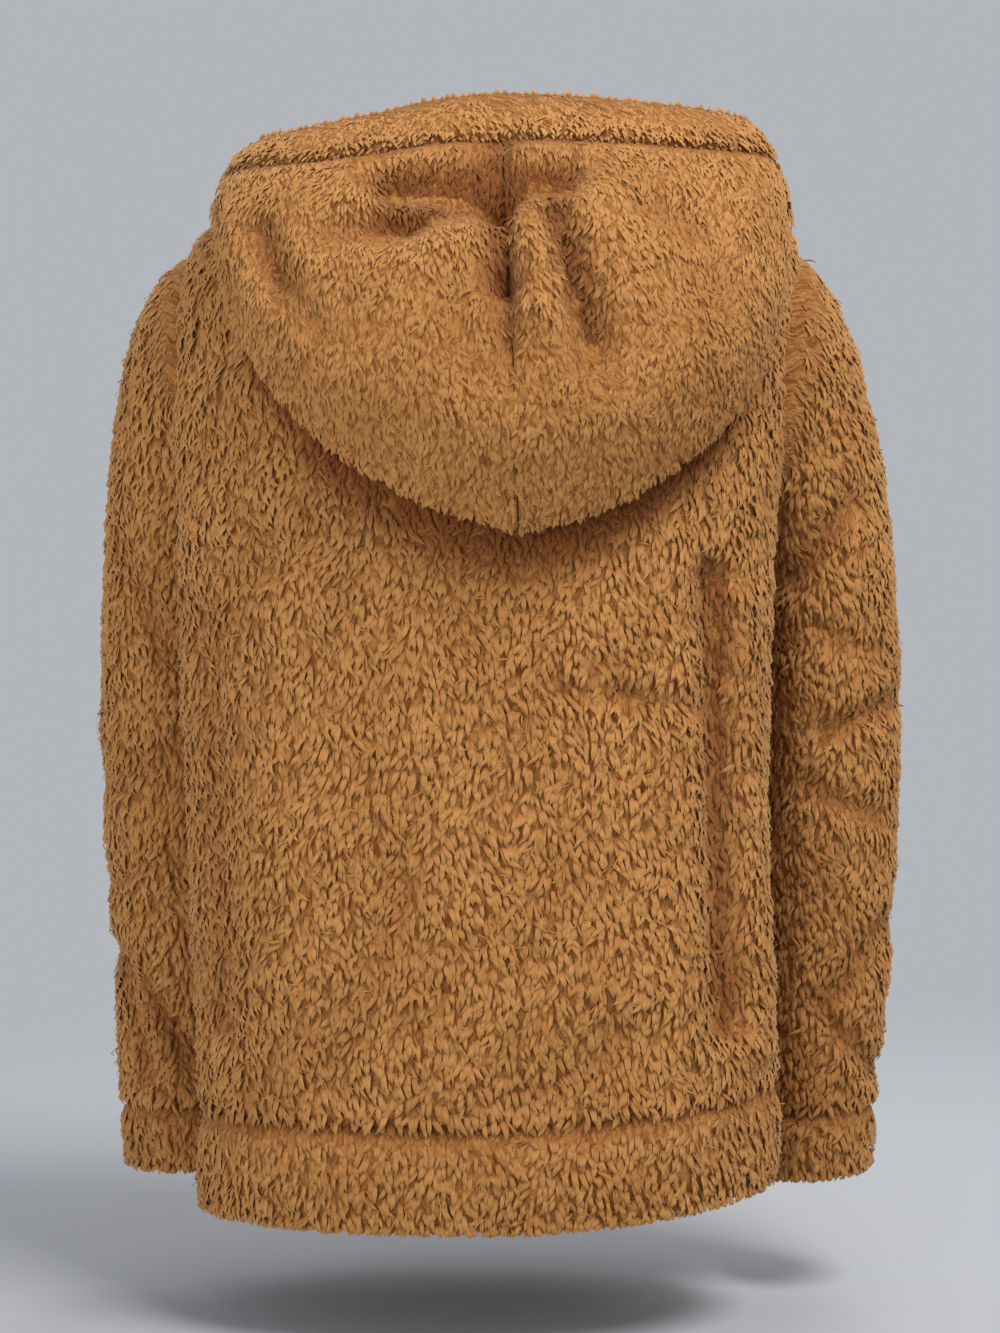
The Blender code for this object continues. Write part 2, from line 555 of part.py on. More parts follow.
def build_hood(cloth):
    ways = hood_ways()
    across = [-w for w in reversed(ways)] + ways
    middle, seam = len(ways), len(HOOD_ROWS)
    last = HOOD_ROWS[-1]
    face, n = hood_sheet(across, HOOD_ROWS + (last + 0.3, last + 0.65, last + 1))
    n = -n if np.sum(n[14:, middle - 5:middle + 5, 1]) < 0 else n
    for _ in range(3):
        n[:, 1:-1] = unit(n[:, :-2] + 2 * n[:, 1:-1] + n[:, 2:])
    n[:, middle - 1:middle + 1] = unit(n[:, middle - 1:middle + 1] * (0, 1, 1))
    start = np.radians([neck_degrees(1 - abs(w)) for w in across])
    start = np.where(np.array(across) > 0, start, np.pi - start)
    for row, share in ((0, 1.0), (1, 0.65), (2, 0.3)):
        n[row] = unit(n[row] + (torso_normal(start, 0.0) - n[row]) * share)

    wall = hood_wall(across)
    halves, edge = face[:seam].copy(), face[seam - 1:].copy()
    halves[-1] += unit(halves[-2] - halves[-1]) * CURVED_GAP / 2
    edge[0] += unit(edge[1] - edge[0]) * CURVED_GAP / 2
    thin, thick = halves - n[:seam] * wall, edge - n[seam - 1:] * (wall + BAND_EXTRA)
    walled("hood_right", halves[:, :middle], thin[:, :middle], cloth)
    walled("hood_left", halves[:, middle:], thin[:, middle:], cloth)
    walled("hood_edge", edge, thick, cloth)


def build_zip(tape, metal):
    rings = np.array([HEM_END + 0.002, -0.655, HEM_SEAM] + panel_rings()[1:])
    for side, sign in (("left", 1), ("right", -1)):
        angle = np.array([[zip_angle(sign * x, r) for x in (0.0015, 0.0085, 0.0155)] for r in rings])
        ring = np.repeat(rings[:, None], 3, axis=1)
        n = torso_normal(angle, ring)
        face = torso(angle, ring) - n * (WALL + BEHIND)
        walled("zip_tape_" + side, face, face - n * TAPE, tape)

    middle = -math.pi / 2
    out = torso_normal(middle, SLIDER_RING)
    out = unit(out * (0, 1, 1))
    along = np.array((0.0, out[2], -out[1]))
    along = along if along[2] < 0 else -along
    origin = torso(middle, SLIDER_RING) * (0, 1, 1) - out * (WALL + BEHIND)
    frame = (origin, along, out)
    boxes("zip_slider", (
        ("add", (-.0010, -.0042, .0021), (.0010, .0042, .0064)),
        ("cut", (-.0020, -.0030, .0028), (.0020, .0030, .0052)),
        ("add", (-.0045, -.0060, .0016), (.0045, .0060, .0026)),
        ("add", (-.0011, -.0056, -.0031), (.0011, -.0025, .0020)),
        ("add", (-.0045, -.0060, -.0036), (.0045, .0060, -.0026)),
    ), metal, frame)
    boxes("zip_pull", (
        ("add", (-.0037, -.0007, .0033), (.0037, .0310, .0047)),
        ("cut", (-.0022, .0007, .0020), (.0022, .0060, .0060)),
    ), metal, frame)

    low = HEM_END + 0.008
    out = unit(torso_normal(middle, low) * (0, 1, 1))
    along = np.array((0.0, out[2], -out[1]))
    along = along if along[2] < 0 else -along
    origin = torso(middle, low) * (0, 1, 1) - out * (WALL + BEHIND)
    boxes("zip_box", (("add", (-.0040, -.0050, .0003), (.0040, .0050, .0028)),), metal,
          (origin, along, out))


def main():
    for old in list(bpy.data.objects):
        bpy.data.objects.remove(old)
    cloth = material("sherpa", CLOTH)
    build_torso(cloth)
    build_sleeves(cloth)
    build_hood(cloth)
    build_zip(material("zip_tape", TAPE_BROWN), material("zip_metal", METAL, 1.0))


main()
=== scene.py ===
"""Looks of the sherpa zip-up hoodie: knit-backed shells, pile locks, zip teeth, floor and light.

Metres, +Z up, front towards -Y, the wearer's left is +X. The sheets follow the same tables as the
solids, with deeper folds, so every shell and lock lies along the wall of the solid it stands for.
"""
import math

import bmesh
import bpy
import mathutils
import numpy as np
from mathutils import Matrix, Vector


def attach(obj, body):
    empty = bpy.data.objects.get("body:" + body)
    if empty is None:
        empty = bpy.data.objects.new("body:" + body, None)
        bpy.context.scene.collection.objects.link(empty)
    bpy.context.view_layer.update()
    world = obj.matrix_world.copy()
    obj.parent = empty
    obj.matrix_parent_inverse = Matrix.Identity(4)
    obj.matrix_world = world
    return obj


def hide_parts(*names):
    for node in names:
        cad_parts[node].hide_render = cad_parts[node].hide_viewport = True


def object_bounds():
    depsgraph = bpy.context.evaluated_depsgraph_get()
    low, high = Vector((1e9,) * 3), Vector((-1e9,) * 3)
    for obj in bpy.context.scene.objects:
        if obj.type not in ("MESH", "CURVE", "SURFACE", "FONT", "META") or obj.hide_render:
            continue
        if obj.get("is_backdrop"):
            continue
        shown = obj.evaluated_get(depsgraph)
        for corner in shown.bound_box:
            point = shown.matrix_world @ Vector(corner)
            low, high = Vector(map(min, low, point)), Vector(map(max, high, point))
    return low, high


bl_info = {
    "name": "Sherpa zip-up hoodie",
    "version": (1, 0, 0),
    "blender": (4, 5, 0),
    "location": "3D View > Sidebar > Hoodie",
    "description": "Builds the cloth, pile and zip of a sherpa hoodie around its packed frame",
    "category": "Add Mesh",
}

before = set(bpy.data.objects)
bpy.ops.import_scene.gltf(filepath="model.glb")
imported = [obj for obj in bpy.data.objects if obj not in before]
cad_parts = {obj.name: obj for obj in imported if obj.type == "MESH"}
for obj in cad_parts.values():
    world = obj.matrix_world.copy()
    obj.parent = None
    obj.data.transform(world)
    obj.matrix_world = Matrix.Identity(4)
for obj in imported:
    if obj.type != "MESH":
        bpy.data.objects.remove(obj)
CAD_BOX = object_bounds()

WALL = 0.007             # knit backing with its pile
SHELL = 0.0016           # knit backing alone
BAND_EXTRA = 0.0008      # the turned hem round the face opening is this much thicker
GAP = 0.0003             # left open at every seam
CURVED_GAP = 0.0006      # the same at seams whose rims twist
HOOD_CLEAR = 0.0078      # hood cloth above the back it lies on
BAND_DEPTH = 0.037       # face-opening hem
HEM_SEAM = -0.622        # hem band from here ...
HEM_END = -0.685         # ... to here
UNDERARM = -0.260        # armhole, lowest and highest point
SHOULDER = -0.050
CUFF_END = 1.07          # along the sleeve, whose cuff seam is at 1
SIDE = math.radians(-6)  # side and shoulder seams lie a little forward
ZIP_HALF = 0.008         # half the slot between the fronts
BEHIND = 0.001           # tapes behind the skin side of the fronts
SLIDER_RING = -0.034     # body ring at which the slider sits
FOLD_DEEP = 0.013        # a trough this deep is in full shade

# Torso rings by the height of the ring at the side: half widths left and right, back and front
# depth, centre, fall of the ring at front and back, squareness, hollows beside the sleeves.
TORSO = {
    "ring":   (-.690, -.627, -.557, -.424, -.358, -.265, -.179, -.120, -.085, -.050, -.020, 0.0),
    "left":   (.2075, .2090, .2130, .2205, .2240, .2280, .2280, .2240, .2170, .2030, .1370, .0870),
    "right":  (.1890, .1920, .1875, .1850, .1870, .1920, .1965, .2000, .2010, .1980, .1350, .0870),
    "back":   (.1540, .1560, .1580, .1530, .1500, .1460, .1400, .1310, .1220, .1080, .0850, .0650),
    "front":  (-.131, -.134, -.138, -.140, -.140, -.137, -.131, -.124, -.118, -.109, -.100, -.092),
    "centre": (-.008, -.008, -.008, -.008, -.008, -.008, -.008, -.007, -.006, -.005, -.005, -.006),
    "fall_f": (0.000, 0.000, 0.000, 0.000, 0.000, -.001, -.006, -.019, -.035, -.055, -.068, -.075),
    "fall_b": (0.000, 0.000, 0.000, 0.000, 0.000, 0.000, 0.000, 0.000, -.001, -.002, -.004, -.005),
    "square": (2.600, 2.600, 2.600, 2.600, 2.600, 2.600, 2.600, 2.500, 2.400, 2.300, 2.100, 2.000),
    "hollow_l": (.049, .0510, .0550, .0640, .0660, .0650, .0300, .0080, .0000, .0000, .0000, .0000),
    "hollow_r": (.029, .0310, .0290, .0280, .0280, .0290, .0120, .0030, .0000, .0000, .0000, .0000),
}
# Armhole half angles round the torso from the side line, towards the back and the front.
ARMHOLE = {
    "left": (math.radians(21), math.radians(20)),
    "right": (math.radians(24), math.radians(21)),
}

# Sleeves from armhole (0) to cuff seam (1) and cuff edge: outer line, inner line (x counts
# outwards), half depth, centre.
BOTH_SLEEVES = {
    "along":   (0.000, 0.030, 0.080, 0.160, 0.280, 0.420, 0.560, 0.720, 0.860, 1.000, 1.070),
    "depth":   (.0650, .0650, .0650, .0645, .0640, .0630, .0615, .0580, .0545, .0500, .0460),
    "centre":  (-.025, -.026, -.029, -.031, -.033, -.034, -.035, -.036, -.037, -.037, -.037),
}
SLEEVE = {
    "left": {
        **BOTH_SLEEVES,
        "outer_x": (.2030, .2210, .2400, .2545, .2665, .2720, .2727, .2695, .2645, .2595, .2555),
        "outer_z": (-.050, -.060, -.086, -.127, -.197, -.285, -.369, -.466, -.552, -.631, -.674),
        "inner_x": (.1670, .1715, .1765, .1785, .1785, .1765, .1735, .1715, .1715, .1755, .1765),
        "inner_z": (-.260, -.258, -.264, -.280, -.316, -.370, -.428, -.503, -.570, -.631, -.674),
    },
    "right": {
        **BOTH_SLEEVES,
        "outer_x": (.1980, .2125, .2290, .2445, .2615, .2710, .2745, .2715, .2665, .2575, .2530),
        "outer_z": (-.050, -.061, -.086, -.127, -.197, -.285, -.369, -.466, -.552, -.633, -.677),
        "inner_x": (.1665, .1705, .1750, .1765, .1765, .1755, .1735, .1725, .1725, .1740, .1745),
        "inner_z": (-.260, -.258, -.264, -.280, -.316, -.370, -.428, -.503, -.572, -.637, -.682),
    },
}

# Hood by the share of the way from the zip (0) to the centre back (1), for each side: where it
# doubles back on the torso (angle, ring), the face edge, how far the outer layer bellies out, how
# much of the fold there is (0 stands up like a collar, 1 is a full pouch), how thick the fold is
# and the cloth's wall, which is pressed flat where the fold is tight. The swing carries the inner
# layer round the back before it comes out to the fold.
BOTH_HOODS = {
    "way":    (0.000, 0.120, 0.250, 0.380, 0.500, 0.600, 0.700, 0.800, 0.900, 1.000),
    "edge_y": (-.098, -.104, -.080, -.020, .0280, .0540, .0740, .0880, .0965, .1000),
    "belly":  (.0060, .0080, .0100, .0080, .0060, .0180, .0340, .0480, .0570, .0600),
    "fold":   (0.000, 0.000, 0.000, 0.700, 1.000, 1.000, 1.000, 1.000, 1.000, 1.000),
    "thick":  (.0120, .0120, .0120, .0120, .0150, .0200, .0220, .0220, .0220, .0220),
    "swing":  (0.000, 0.000, 0.000, 9.000, 22.00, 19.00, 11.00, 4.000, 1.000, 0.000),
    "wall":   (.0038, .0037, .0027, .0024, .0036, .0048, .0055, .0055, .0055, .0055),
}
HOOD = {
    "left": {
        **BOTH_HOODS,
        "angle":  (-84.5, -64.0, -30.0, 0.000, 23.00, 33.00, 43.00, 56.00, 75.00, 94.00),
        "ring":   (-.004, -.006, -.016, -.030, -.052, -.099, -.148, -.194, -.227, -.243),
        "edge_x": (.0120, .0520, .1080, .1480, .1590, .1450, .1160, .0790, .0390, .0000),
        "edge_z": (-.044, -.030, .0000, .0160, .0150, .0140, .0160, .0205, .0275, .0305),
    },
    "right": {
        **BOTH_HOODS,
        "angle":  (-84.5, -64.0, -30.0, -1.00, 21.00, 29.00, 39.00, 53.00, 69.00, 86.00),
        "ring":   (-.004, -.006, -.016, -.030, -.052, -.099, -.156, -.201, -.231, -.243),
        "edge_x": (.0120, .0520, .1080, .1500, .1650, .1510, .1200, .0810, .0400, .0000),
        "edge_z": (-.044, -.030, .0020, .0240, .0260, .0265, .0275, .0285, .0300, .0305),
    },
}
# Length down the torso from the neck seam to a ring.
DOWN = {
    "ring":   (0.0000, 0.0200, 0.0500, 0.0850, 0.1200, 0.2500),
    "length": (0.0000, 0.0550, 0.1150, 0.1520, 0.1880, 0.3190),
}
# Where the points of a rib lie when it stands like a collar: share of its height.
STAND = (0, .03, .06, .09, .13, .17, .21, .25, .30, .35, .40, .44, .49, .54, .60, .68, 1)
# How the belly of the outer layer is spread from its fold (0) to the face edge (1).
BELLY = {
    "share": (0.00, 0.06, 0.25, 0.47, 0.64, 0.78, 0.87, 0.94, 1.00),
    "out":   (0.00, 0.36, 0.76, 1.00, 0.97, 0.72, 0.38, 0.12, 0.00),
}

# Folds seen from behind: from (x, z) to (x, z), width, height along the surface (a trough is
# negative). The last group lies on the front, which the photograph doesn't show.
FOLDS = {
    "torso_back": (
        (-.155, -.290, -.168, -.575, .010, .0060),
        (-.137, -.275, -.144, -.560, .011, -.0140),
        (-.035, -.347, -.122, -.357, .008, -.0050),
        (-.062, -.330, -.100, -.372, .006, -.0035),
        (.188, -.300, .176, -.560, .012, -.0070),
        (.150, -.250, .168, -.330, .010, -.0040),
        (.060, -.470, .110, -.585, .022, -.0040),
        (-.020, -.600, -.090, -.560, .016, -.0035),
    ),
    "torso_front": (
        (.150, -.230, .070, -.330, .018, -.0060),
        (-.150, -.240, -.060, -.350, .018, -.0060),
        (.130, -.420, .050, -.590, .016, -.0045),
        (-.120, -.400, -.060, -.560, .016, -.0045),
    ),
    "left": (
        (.2610, -.5250, .2380, -.6060, .008, -.0080),
        (.2400, -.5400, .2050, -.5980, .008, -.0080),
        (.2550, -.2600, .2150, -.3300, .012, -.0055),
        (.2100, -.3800, .2600, -.4100, .010, -.0050),
        (.2200, -.4600, .2600, -.4800, .009, -.0040),
    ),
    "right": (
        (-.2640, -.3560, -.2180, -.3760, .008, -.0080),
        (-.1950, -.2750, -.2350, -.2200, .011, -.0080),
        (-.2600, -.5100, -.2150, -.5600, .010, -.0075),
        (-.2250, -.5750, -.2550, -.6050, .008, -.0060),
        (-.2550, -.4350, -.2100, -.4150, .009, -.0055),
        (-.2150, -.3100, -.2500, -.3250, .008, -.0040),
    ),
    "hood": (
        (.0010, -.020, -.0030, -.100, .012, -.0210),
        (-.0030, -.100, -.0060, -.172, .009, -.0130),
        (.0720, -.032, -.0420, -.028, .012, -.0200),
        (.0050, -.040, .0650, -.062, .014, -.0150),
        (.0600, -.058, .1050, -.068, .013, -.0080),
        (-.0340, -.052, -.0620, -.155, .012, -.0190),
        (-.0600, -.150, -.0850, -.180, .012, -.0050),
        (-.0180, -.070, -.0280, -.120, .010, .0050),
        (.1500, -.060, .1380, -.095, .009, -.0110),
        (.1380, -.095, .1050, -.145, .009, -.0090),
        (-.0900, -.050, -.1250, -.062, .010, -.0050),
        (.0300, -.110, .0200, -.165, .012, -.0040),
    ),
}


def smooth_through(table, key_column, columns, at):
    """The named columns at `at`, on a smooth line through the table that never overshoots."""
    x = np.asarray(table[key_column], float)
    y = np.stack([np.asarray(table[c], float) for c in columns], axis=-1)
    step = np.diff(x)[:, None]
    slope = np.diff(y, axis=0) / step
    grade = np.zeros_like(y)
    same = slope[:-1] * slope[1:] > 0
    safe = np.where(same, slope[:-1] + slope[1:], 1.0)
    grade[1:-1] = np.where(same, 2 * slope[:-1] * slope[1:] / safe, 0.0)
    grade[0], grade[-1] = slope[0], slope[-1]
    at = np.clip(np.asarray(at, float), x[0], x[-1])
    i = np.clip(np.searchsorted(x, at, side="right") - 1, 0, len(x) - 2)
    h = step[i]
    f = ((at - x[i])[..., None]) / h
    return ((1 + 2 * f) * (1 - f) ** 2 * y[i] + f * (1 - f) ** 2 * h * grade[i]
            + f * f * (3 - 2 * f) * y[i + 1] + f * f * (f - 1) * h * grade[i + 1])


def hollows(face, folds):
    """How deep a point lies in the troughs of the folds, from 0 to 1: how much painted shade the pile
    gets there.
    """
    return np.clip(-fold_height(face, FOLDS[folds]) / FOLD_DEEP, 0.0, 1.0)


def ease(value, start, stop):
    """0 before start, 1 after stop, with a soft step between them."""
    f = np.clip((np.asarray(value, float) - start) / (stop - start), 0.0, 1.0)
    return f * f * (3 - 2 * f)


def unit(v):
    """The vectors at length 1."""
    return v / np.maximum(np.linalg.norm(v, axis=-1, keepdims=True), 1e-12)


def fold_height(points, folds):
    """Height of the folds at each point, from its distance to each fold's line in x and z."""
    flat = points[..., [0, 2]]
    total = np.zeros(flat.shape[:-1])
    for x0, z0, x1, z1, width, height in folds:
        start, line = np.array((x0, z0)), np.array((x1 - x0, z1 - z0))
        along = np.clip(((flat - start) @ line) / (line @ line), 0.0, 1.0)
        away = np.linalg.norm(flat - start - along[..., None] * line, axis=-1)
        total += height * np.exp(-(away / width) ** 2)
    return total


def surface_normal(surface, u, v, step_u, step_v):
    """Unit normal of surface(u, v), from the way the surface runs on both sides."""
    along_u = surface(u + step_u, v) - surface(u - step_u, v)
    along_v = surface(u, v + step_v) - surface(u, v - step_v)
    return unit(np.cross(along_u, along_v))


# ---------------------------------------------------------------- torso

def plain_torso(angle, ring):
    """Outer face of the torso without its folds."""
    left, right, back, front, centre, fall_f, fall_b, square, hollow_l, hollow_r = np.moveaxis(
        smooth_through(TORSO, "ring", ("left", "right", "back", "front", "centre", "fall_f",
                                       "fall_b", "square", "hollow_l", "hollow_r"), ring), -1, 0)
    c, s = np.cos(angle), np.sin(angle)
    half = np.where(c >= 0, left, right)
    deep = np.where(s >= 0, back - centre, centre - front)
    radius = (np.abs(c / half) ** square + np.abs(s / deep) ** square) ** (-1 / square)
    x, y = radius * c, centre + radius * s
    pressed = np.exp(-np.abs((y + 0.030) / 0.070) ** 3) * ease(np.abs(x), 0.04, 0.15)
    x = x - np.sign(c) * np.where(c >= 0, hollow_l, hollow_r) * pressed
    raised = 0.017 * np.clip(-x / 0.18, 0, 1.1) ** 1.5 * ease(-ring, 0.35, 0.61)
    z = ring + np.where(s >= 0, fall_b, fall_f) * s * s + raised
    return np.stack((x, y, z), axis=-1)


def torso(angle, ring):
    """Outer face of the torso at an angle (0 left side, 90 degrees back) on a ring."""
    angle, ring = np.broadcast_arrays(np.asarray(angle, float), np.asarray(ring, float))
    base = plain_torso(angle, ring)
    n = surface_normal(plain_torso, angle, ring, 0.01, 0.002)
    height = fold_height(base, FOLDS["torso_back"]) * ease(n[..., 1], 0.0, 0.35)
    height += fold_height(base, FOLDS["torso_front"]) * ease(-n[..., 1], 0.1, 0.5)
    return base + n * (height * ease(-ring, 0.10, 0.20))[..., None]


def torso_normal(angle, ring):
    """Normal of the torso's outer face."""
    angle, ring = np.broadcast_arrays(np.asarray(angle, float), np.asarray(ring, float))
    return surface_normal(torso, angle, ring, 0.01, 0.002)


def armhole(turn, side, wider=0.0):
    """Angle and ring of the armhole's edge; turn 0 is the underarm, half a turn the shoulder."""
    to_back, to_front = ARMHOLE[side]
    sine = np.sin(turn)
    middle, half = (SHOULDER + UNDERARM) / 2, (SHOULDER - UNDERARM) / 2 + wider
    angle = SIDE + np.where(sine >= 0, to_back + wider / 0.2, to_front + wider / 0.2) * sine
    ring = middle - half * np.cos(turn)
    return (angle if side == "left" else np.pi - angle), ring


def side_edge(ring, side, towards):
    """How far round from the side line a panel starts on a ring: half a gap, or the armhole."""
    to_back, to_front = ARMHOLE[side]
    reach = (to_back if towards == "back" else to_front) + CURVED_GAP / 0.2
    middle, half = (SHOULDER + UNDERARM) / 2, (SHOULDER - UNDERARM) / 2 + CURVED_GAP
    inside = 1 - ((ring - middle) / half) ** 2
    radius = float(np.linalg.norm(plain_torso(0.0 if side == "left" else math.pi, ring)[:2]))
    return max(reach * math.sqrt(max(inside, 0.0)), GAP / 2 / radius)


def zip_angle(x, ring):
    """Angle on a ring at which the front lies at this x."""
    centre, front = smooth_through(TORSO, "ring", ("centre", "front"), ring)
    return -math.pi / 2 + math.asin(x / (centre - front))


# ---------------------------------------------------------------- sleeves

def sleeve(turn, along, side):
    """Outer face of a sleeve; turn 0 is the inner line, half a turn the outer line."""
    turn, along = np.broadcast_arrays(np.asarray(turn, float), np.asarray(along, float))
    sign = 1.0 if side == "left" else -1.0
    columns = ("outer_x", "outer_z", "inner_x", "inner_z", "depth", "centre")

    def plain(turn, along):
        ox, oz, ix, iz, deep, centre = np.moveaxis(
            smooth_through(SLEEVE[side], "along", columns, along), -1, 0)
        c, s = np.cos(turn), np.sin(turn)
        bulge = (np.abs(c) ** 2.2 + np.abs(s) ** 2.2) ** (-1 / 2.2)
        c, s = c * bulge, s * bulge
        x = (ox + ix) / 2 - c * (ox - ix) / 2
        z = (oz + iz) / 2 - c * (oz - iz) / 2
        return np.stack((sign * x, centre + s * deep, z), axis=-1)

    angle, ring = armhole(turn, side)
    kept = np.clip(1 - along / 0.22, 0, 1)[..., None] ** 2
    shape = plain(turn, along) + (torso(angle, ring) - plain(turn, np.zeros_like(along))) * kept
    middle = plain(np.zeros_like(turn), along) / 2 + plain(np.full_like(turn, np.pi), along) / 2
    out = unit((shape - middle) * (1, 1, 0.3))
    height = fold_height(shape, FOLDS[side]) * ease(out[..., 1], -0.6, 0.1)
    return shape + out * height[..., None]


# ---------------------------------------------------------------- hood

NECK_START = math.degrees(zip_angle(ZIP_HALF, 0.0))
OUTER_ROWS = 10.0, 11.5    # rows of a rib over which its outer layer comes into view
LAST_ROW = 15              # seam of the face hem


def neck_degrees(way):
    """Angle on the neck ring at which a rib of the hood starts."""
    return NECK_START + (90 - NECK_START) * way


def hood_rib(across):
    """Points of one rib of the hood on its pile side, from the neck seam to the face edge.

    across runs from the zip on the right (-1) by the centre back (0) to the zip on the left (1).
    """
    side, sign = ("left", 1.0) if across >= 0 else ("right", -1.0)
    way = 1 - abs(across)
    turn, ring, ex, ey, ez, belly, fold, thick, swing = smooth_through(
        HOOD[side], "way", ("angle", "ring", "edge_x", "edge_y", "edge_z", "belly", "fold", "thick",
                            "swing"), way)
    start = neck_degrees(way)
    shares = np.array((0.0, 0.25, 0.50, 0.75, 1.0))
    angles = np.radians(start + (turn - start) * shares + swing * np.sin(np.pi * shares))
    angles = angles if side == "left" else np.pi - angles
    whole = np.interp(-ring, DOWN["ring"], DOWN["length"])
    rings = -np.interp(whole * shares, DOWN["length"], DOWN["ring"])
    under, n = torso(angles, rings), torso_normal(angles, rings)
    out = unit(under[0] * (1, 1, 0) + (0, 0.006, 0))
    up = np.array((0.0, 0.0, 1.0))
    edge = np.array((sign * ex, ey, ez))
    seam = under[0] + up * GAP / 2

    roll = [seam, seam + up * 0.009 - out * 0.0005, seam + up * 0.0155 + out * 0.0065,
            seam + up * 0.0125 + out * 0.0160]
    lying = list(under[1:] + n[1:] * HOOD_CLEAR)
    thick = thick / max(fold, 0.3)
    bend = under[-1] + n[-1] * (HOOD_CLEAR + thick / 2) + unit(lying[-1] - lying[-2]) * thick / 2
    back = under[-1] + n[-1] * (HOOD_CLEAR + thick)
    rear = float(ease(way, 0.40, 0.75))
    lean = unit(np.array((sign * (1 - 0.65 * rear) * ex / 0.16, rear, 0.45 - 0.33 * rear)))
    length = float(np.linalg.norm(edge - back))
    band = 1 - min(BAND_DEPTH, 0.45 * length) / length
    outer = []
    for share in (0.18 * band, 0.38 * band, 0.58 * band, 0.76 * band, 0.90 * band, band, 1.0):
        lift = smooth_through(BELLY, "share", ("out",), share)[0] * belly
        outer.append(back + (edge - back) * share + lean * lift)
    pouch = np.array(roll + lying + [bend, back] + outer)

    shares = np.array(STAND)
    stand = seam + np.outer(shares, edge - seam) + np.outer(np.sin(shares * np.pi) * belly, out)
    return stand + (pouch - stand) * fold


def along_rib(ribs, rows):
    """Points of a rib at the rows, on a smooth line that allows for its uneven steps."""
    step = np.sqrt(np.linalg.norm(np.diff(ribs, axis=0), axis=1))[:, None]
    slope = np.diff(ribs, axis=0) / step
    grade = np.concatenate((slope[:1], (slope[:-1] * step[1:] + slope[1:] * step[:-1])
                            / (step[:-1] + step[1:]), slope[-1:]))
    i = np.clip(np.floor(rows).astype(int), 0, len(ribs) - 2)
    f, h = (rows - i)[:, None], step[i]
    return ((1 + 2 * f) * (1 - f) ** 2 * ribs[i] + f * (1 - f) ** 2 * h * grade[i]
            + f * f * (3 - 2 * f) * ribs[i + 1] + f * f * (f - 1) * h * grade[i + 1])


def hood_sheet(places, rows):
    """Pile side of the hood and its normals, over the places across and the rows of a rib."""
    rows = np.array(rows, float)
    columns, normals = [], []
    for place in places:
        near = [hood_rib(place + step) for step in (-0.005, 0.0, 0.005)]
        grid = [along_rib(near[0], rows), along_rib(near[2], rows),
                along_rib(near[1], rows - 0.06), along_rib(near[1], rows + 0.06)]
        base = along_rib(near[1], rows)
        n = unit(np.cross(grid[1] - grid[0], grid[3] - grid[2]))
        seen = ease(rows, *OUTER_ROWS) * ease(np.abs(n[:, 1]), 0.0, 0.4)
        seen = seen * ease(base[:, 1], 0.02, 0.06)
        away = n * (np.sign(n[:, 1:2]) * seen[:, None])
        grid = [g + away * fold_height(g, FOLDS["hood"])[:, None] for g in grid]
        columns.append(base + away * fold_height(base, FOLDS["hood"])[:, None])
        normals.append(unit(np.cross(grid[1] - grid[0], grid[3] - grid[2])))
    return np.stack(columns, axis=1), np.stack(normals, axis=1)


# ---------------------------------------------------------------- fine sheets

STEP = 0.0080              # size of a quad of the fine sheets
BACK_COLUMNS, FRONT_COLUMNS = 64, 30
HEM_ROWS, HEM_COLUMNS = 16, 150
ARM_COLUMNS = 56
HALF_HOOD_COLUMNS = 54


def evenly(line, params, step=STEP):
    """Parameters spaced evenly by length along line(params), about one step apart."""
    params = np.asarray(params, float)
    points = line(params)
    length = np.concatenate(([0.0], np.cumsum(np.linalg.norm(np.diff(points, axis=0), axis=1))))
    count = max(int(round(length[-1] / step)), 2) + 1
    return np.interp(np.linspace(0, length[-1], count), length, params)


def crowded(values):
    """The values with two more close to each end, for the dip beside a seam."""
    first, last = values[1] - values[0], values[-1] - values[-2]
    return np.concatenate((values[:1], values[0] + first * np.array((0.35, 0.7)), values[1:-1],
                           values[-1] - last * np.array((0.7, 0.35)), values[-1:]))


def panel_sheet(towards, side=None):
    """Face, normals, walls and nap of the back or of one front, on fine rings and columns."""
    middle = {"left": -math.pi / 4, "right": -3 * math.pi / 4}.get(side, math.pi / 2)
    rings = np.linspace(HEM_SEAM + GAP / 2, -GAP / 2, 400)
    rings = crowded(evenly(lambda r: torso(middle, r), rings))
    columns = BACK_COLUMNS if towards == "back" else FRONT_COLUMNS
    angles = []
    for ring in rings:
        left, right = side_edge(ring, "left", towards), side_edge(ring, "right", towards)
        if towards == "back":
            ends = SIDE + left, math.pi - SIDE - right
        elif side == "left":
            ends = zip_angle(ZIP_HALF, ring), SIDE - left
        else:
            ends = zip_angle(-ZIP_HALF, ring), -math.pi - SIDE + right
        angles.append(crowded(np.linspace(*ends, columns)))
    angle, ring = np.array(angles), np.repeat(rings[:, None], columns + 4, axis=1)
    nap = torso(angle, ring - 0.002) - torso(angle, ring + 0.002)
    return torso(angle, ring), torso_normal(angle, ring), np.full(angle.shape, WALL), nap


def hem_sheet():
    """Face, normals and walls of the hem band, from the zip round the back to the zip."""
    rings = np.linspace(HEM_SEAM - GAP / 2, HEM_END, HEM_ROWS)
    starts = [zip_angle(ZIP_HALF, r) for r in rings]
    stops = [zip_angle(-ZIP_HALF, r) + 2 * math.pi for r in rings]
    angle = np.linspace(starts, stops, HEM_COLUMNS, axis=1)
    ring = np.repeat(rings[:, None], HEM_COLUMNS, axis=1)
    return torso(angle, ring), torso_normal(angle, ring), np.full(angle.shape, WALL)


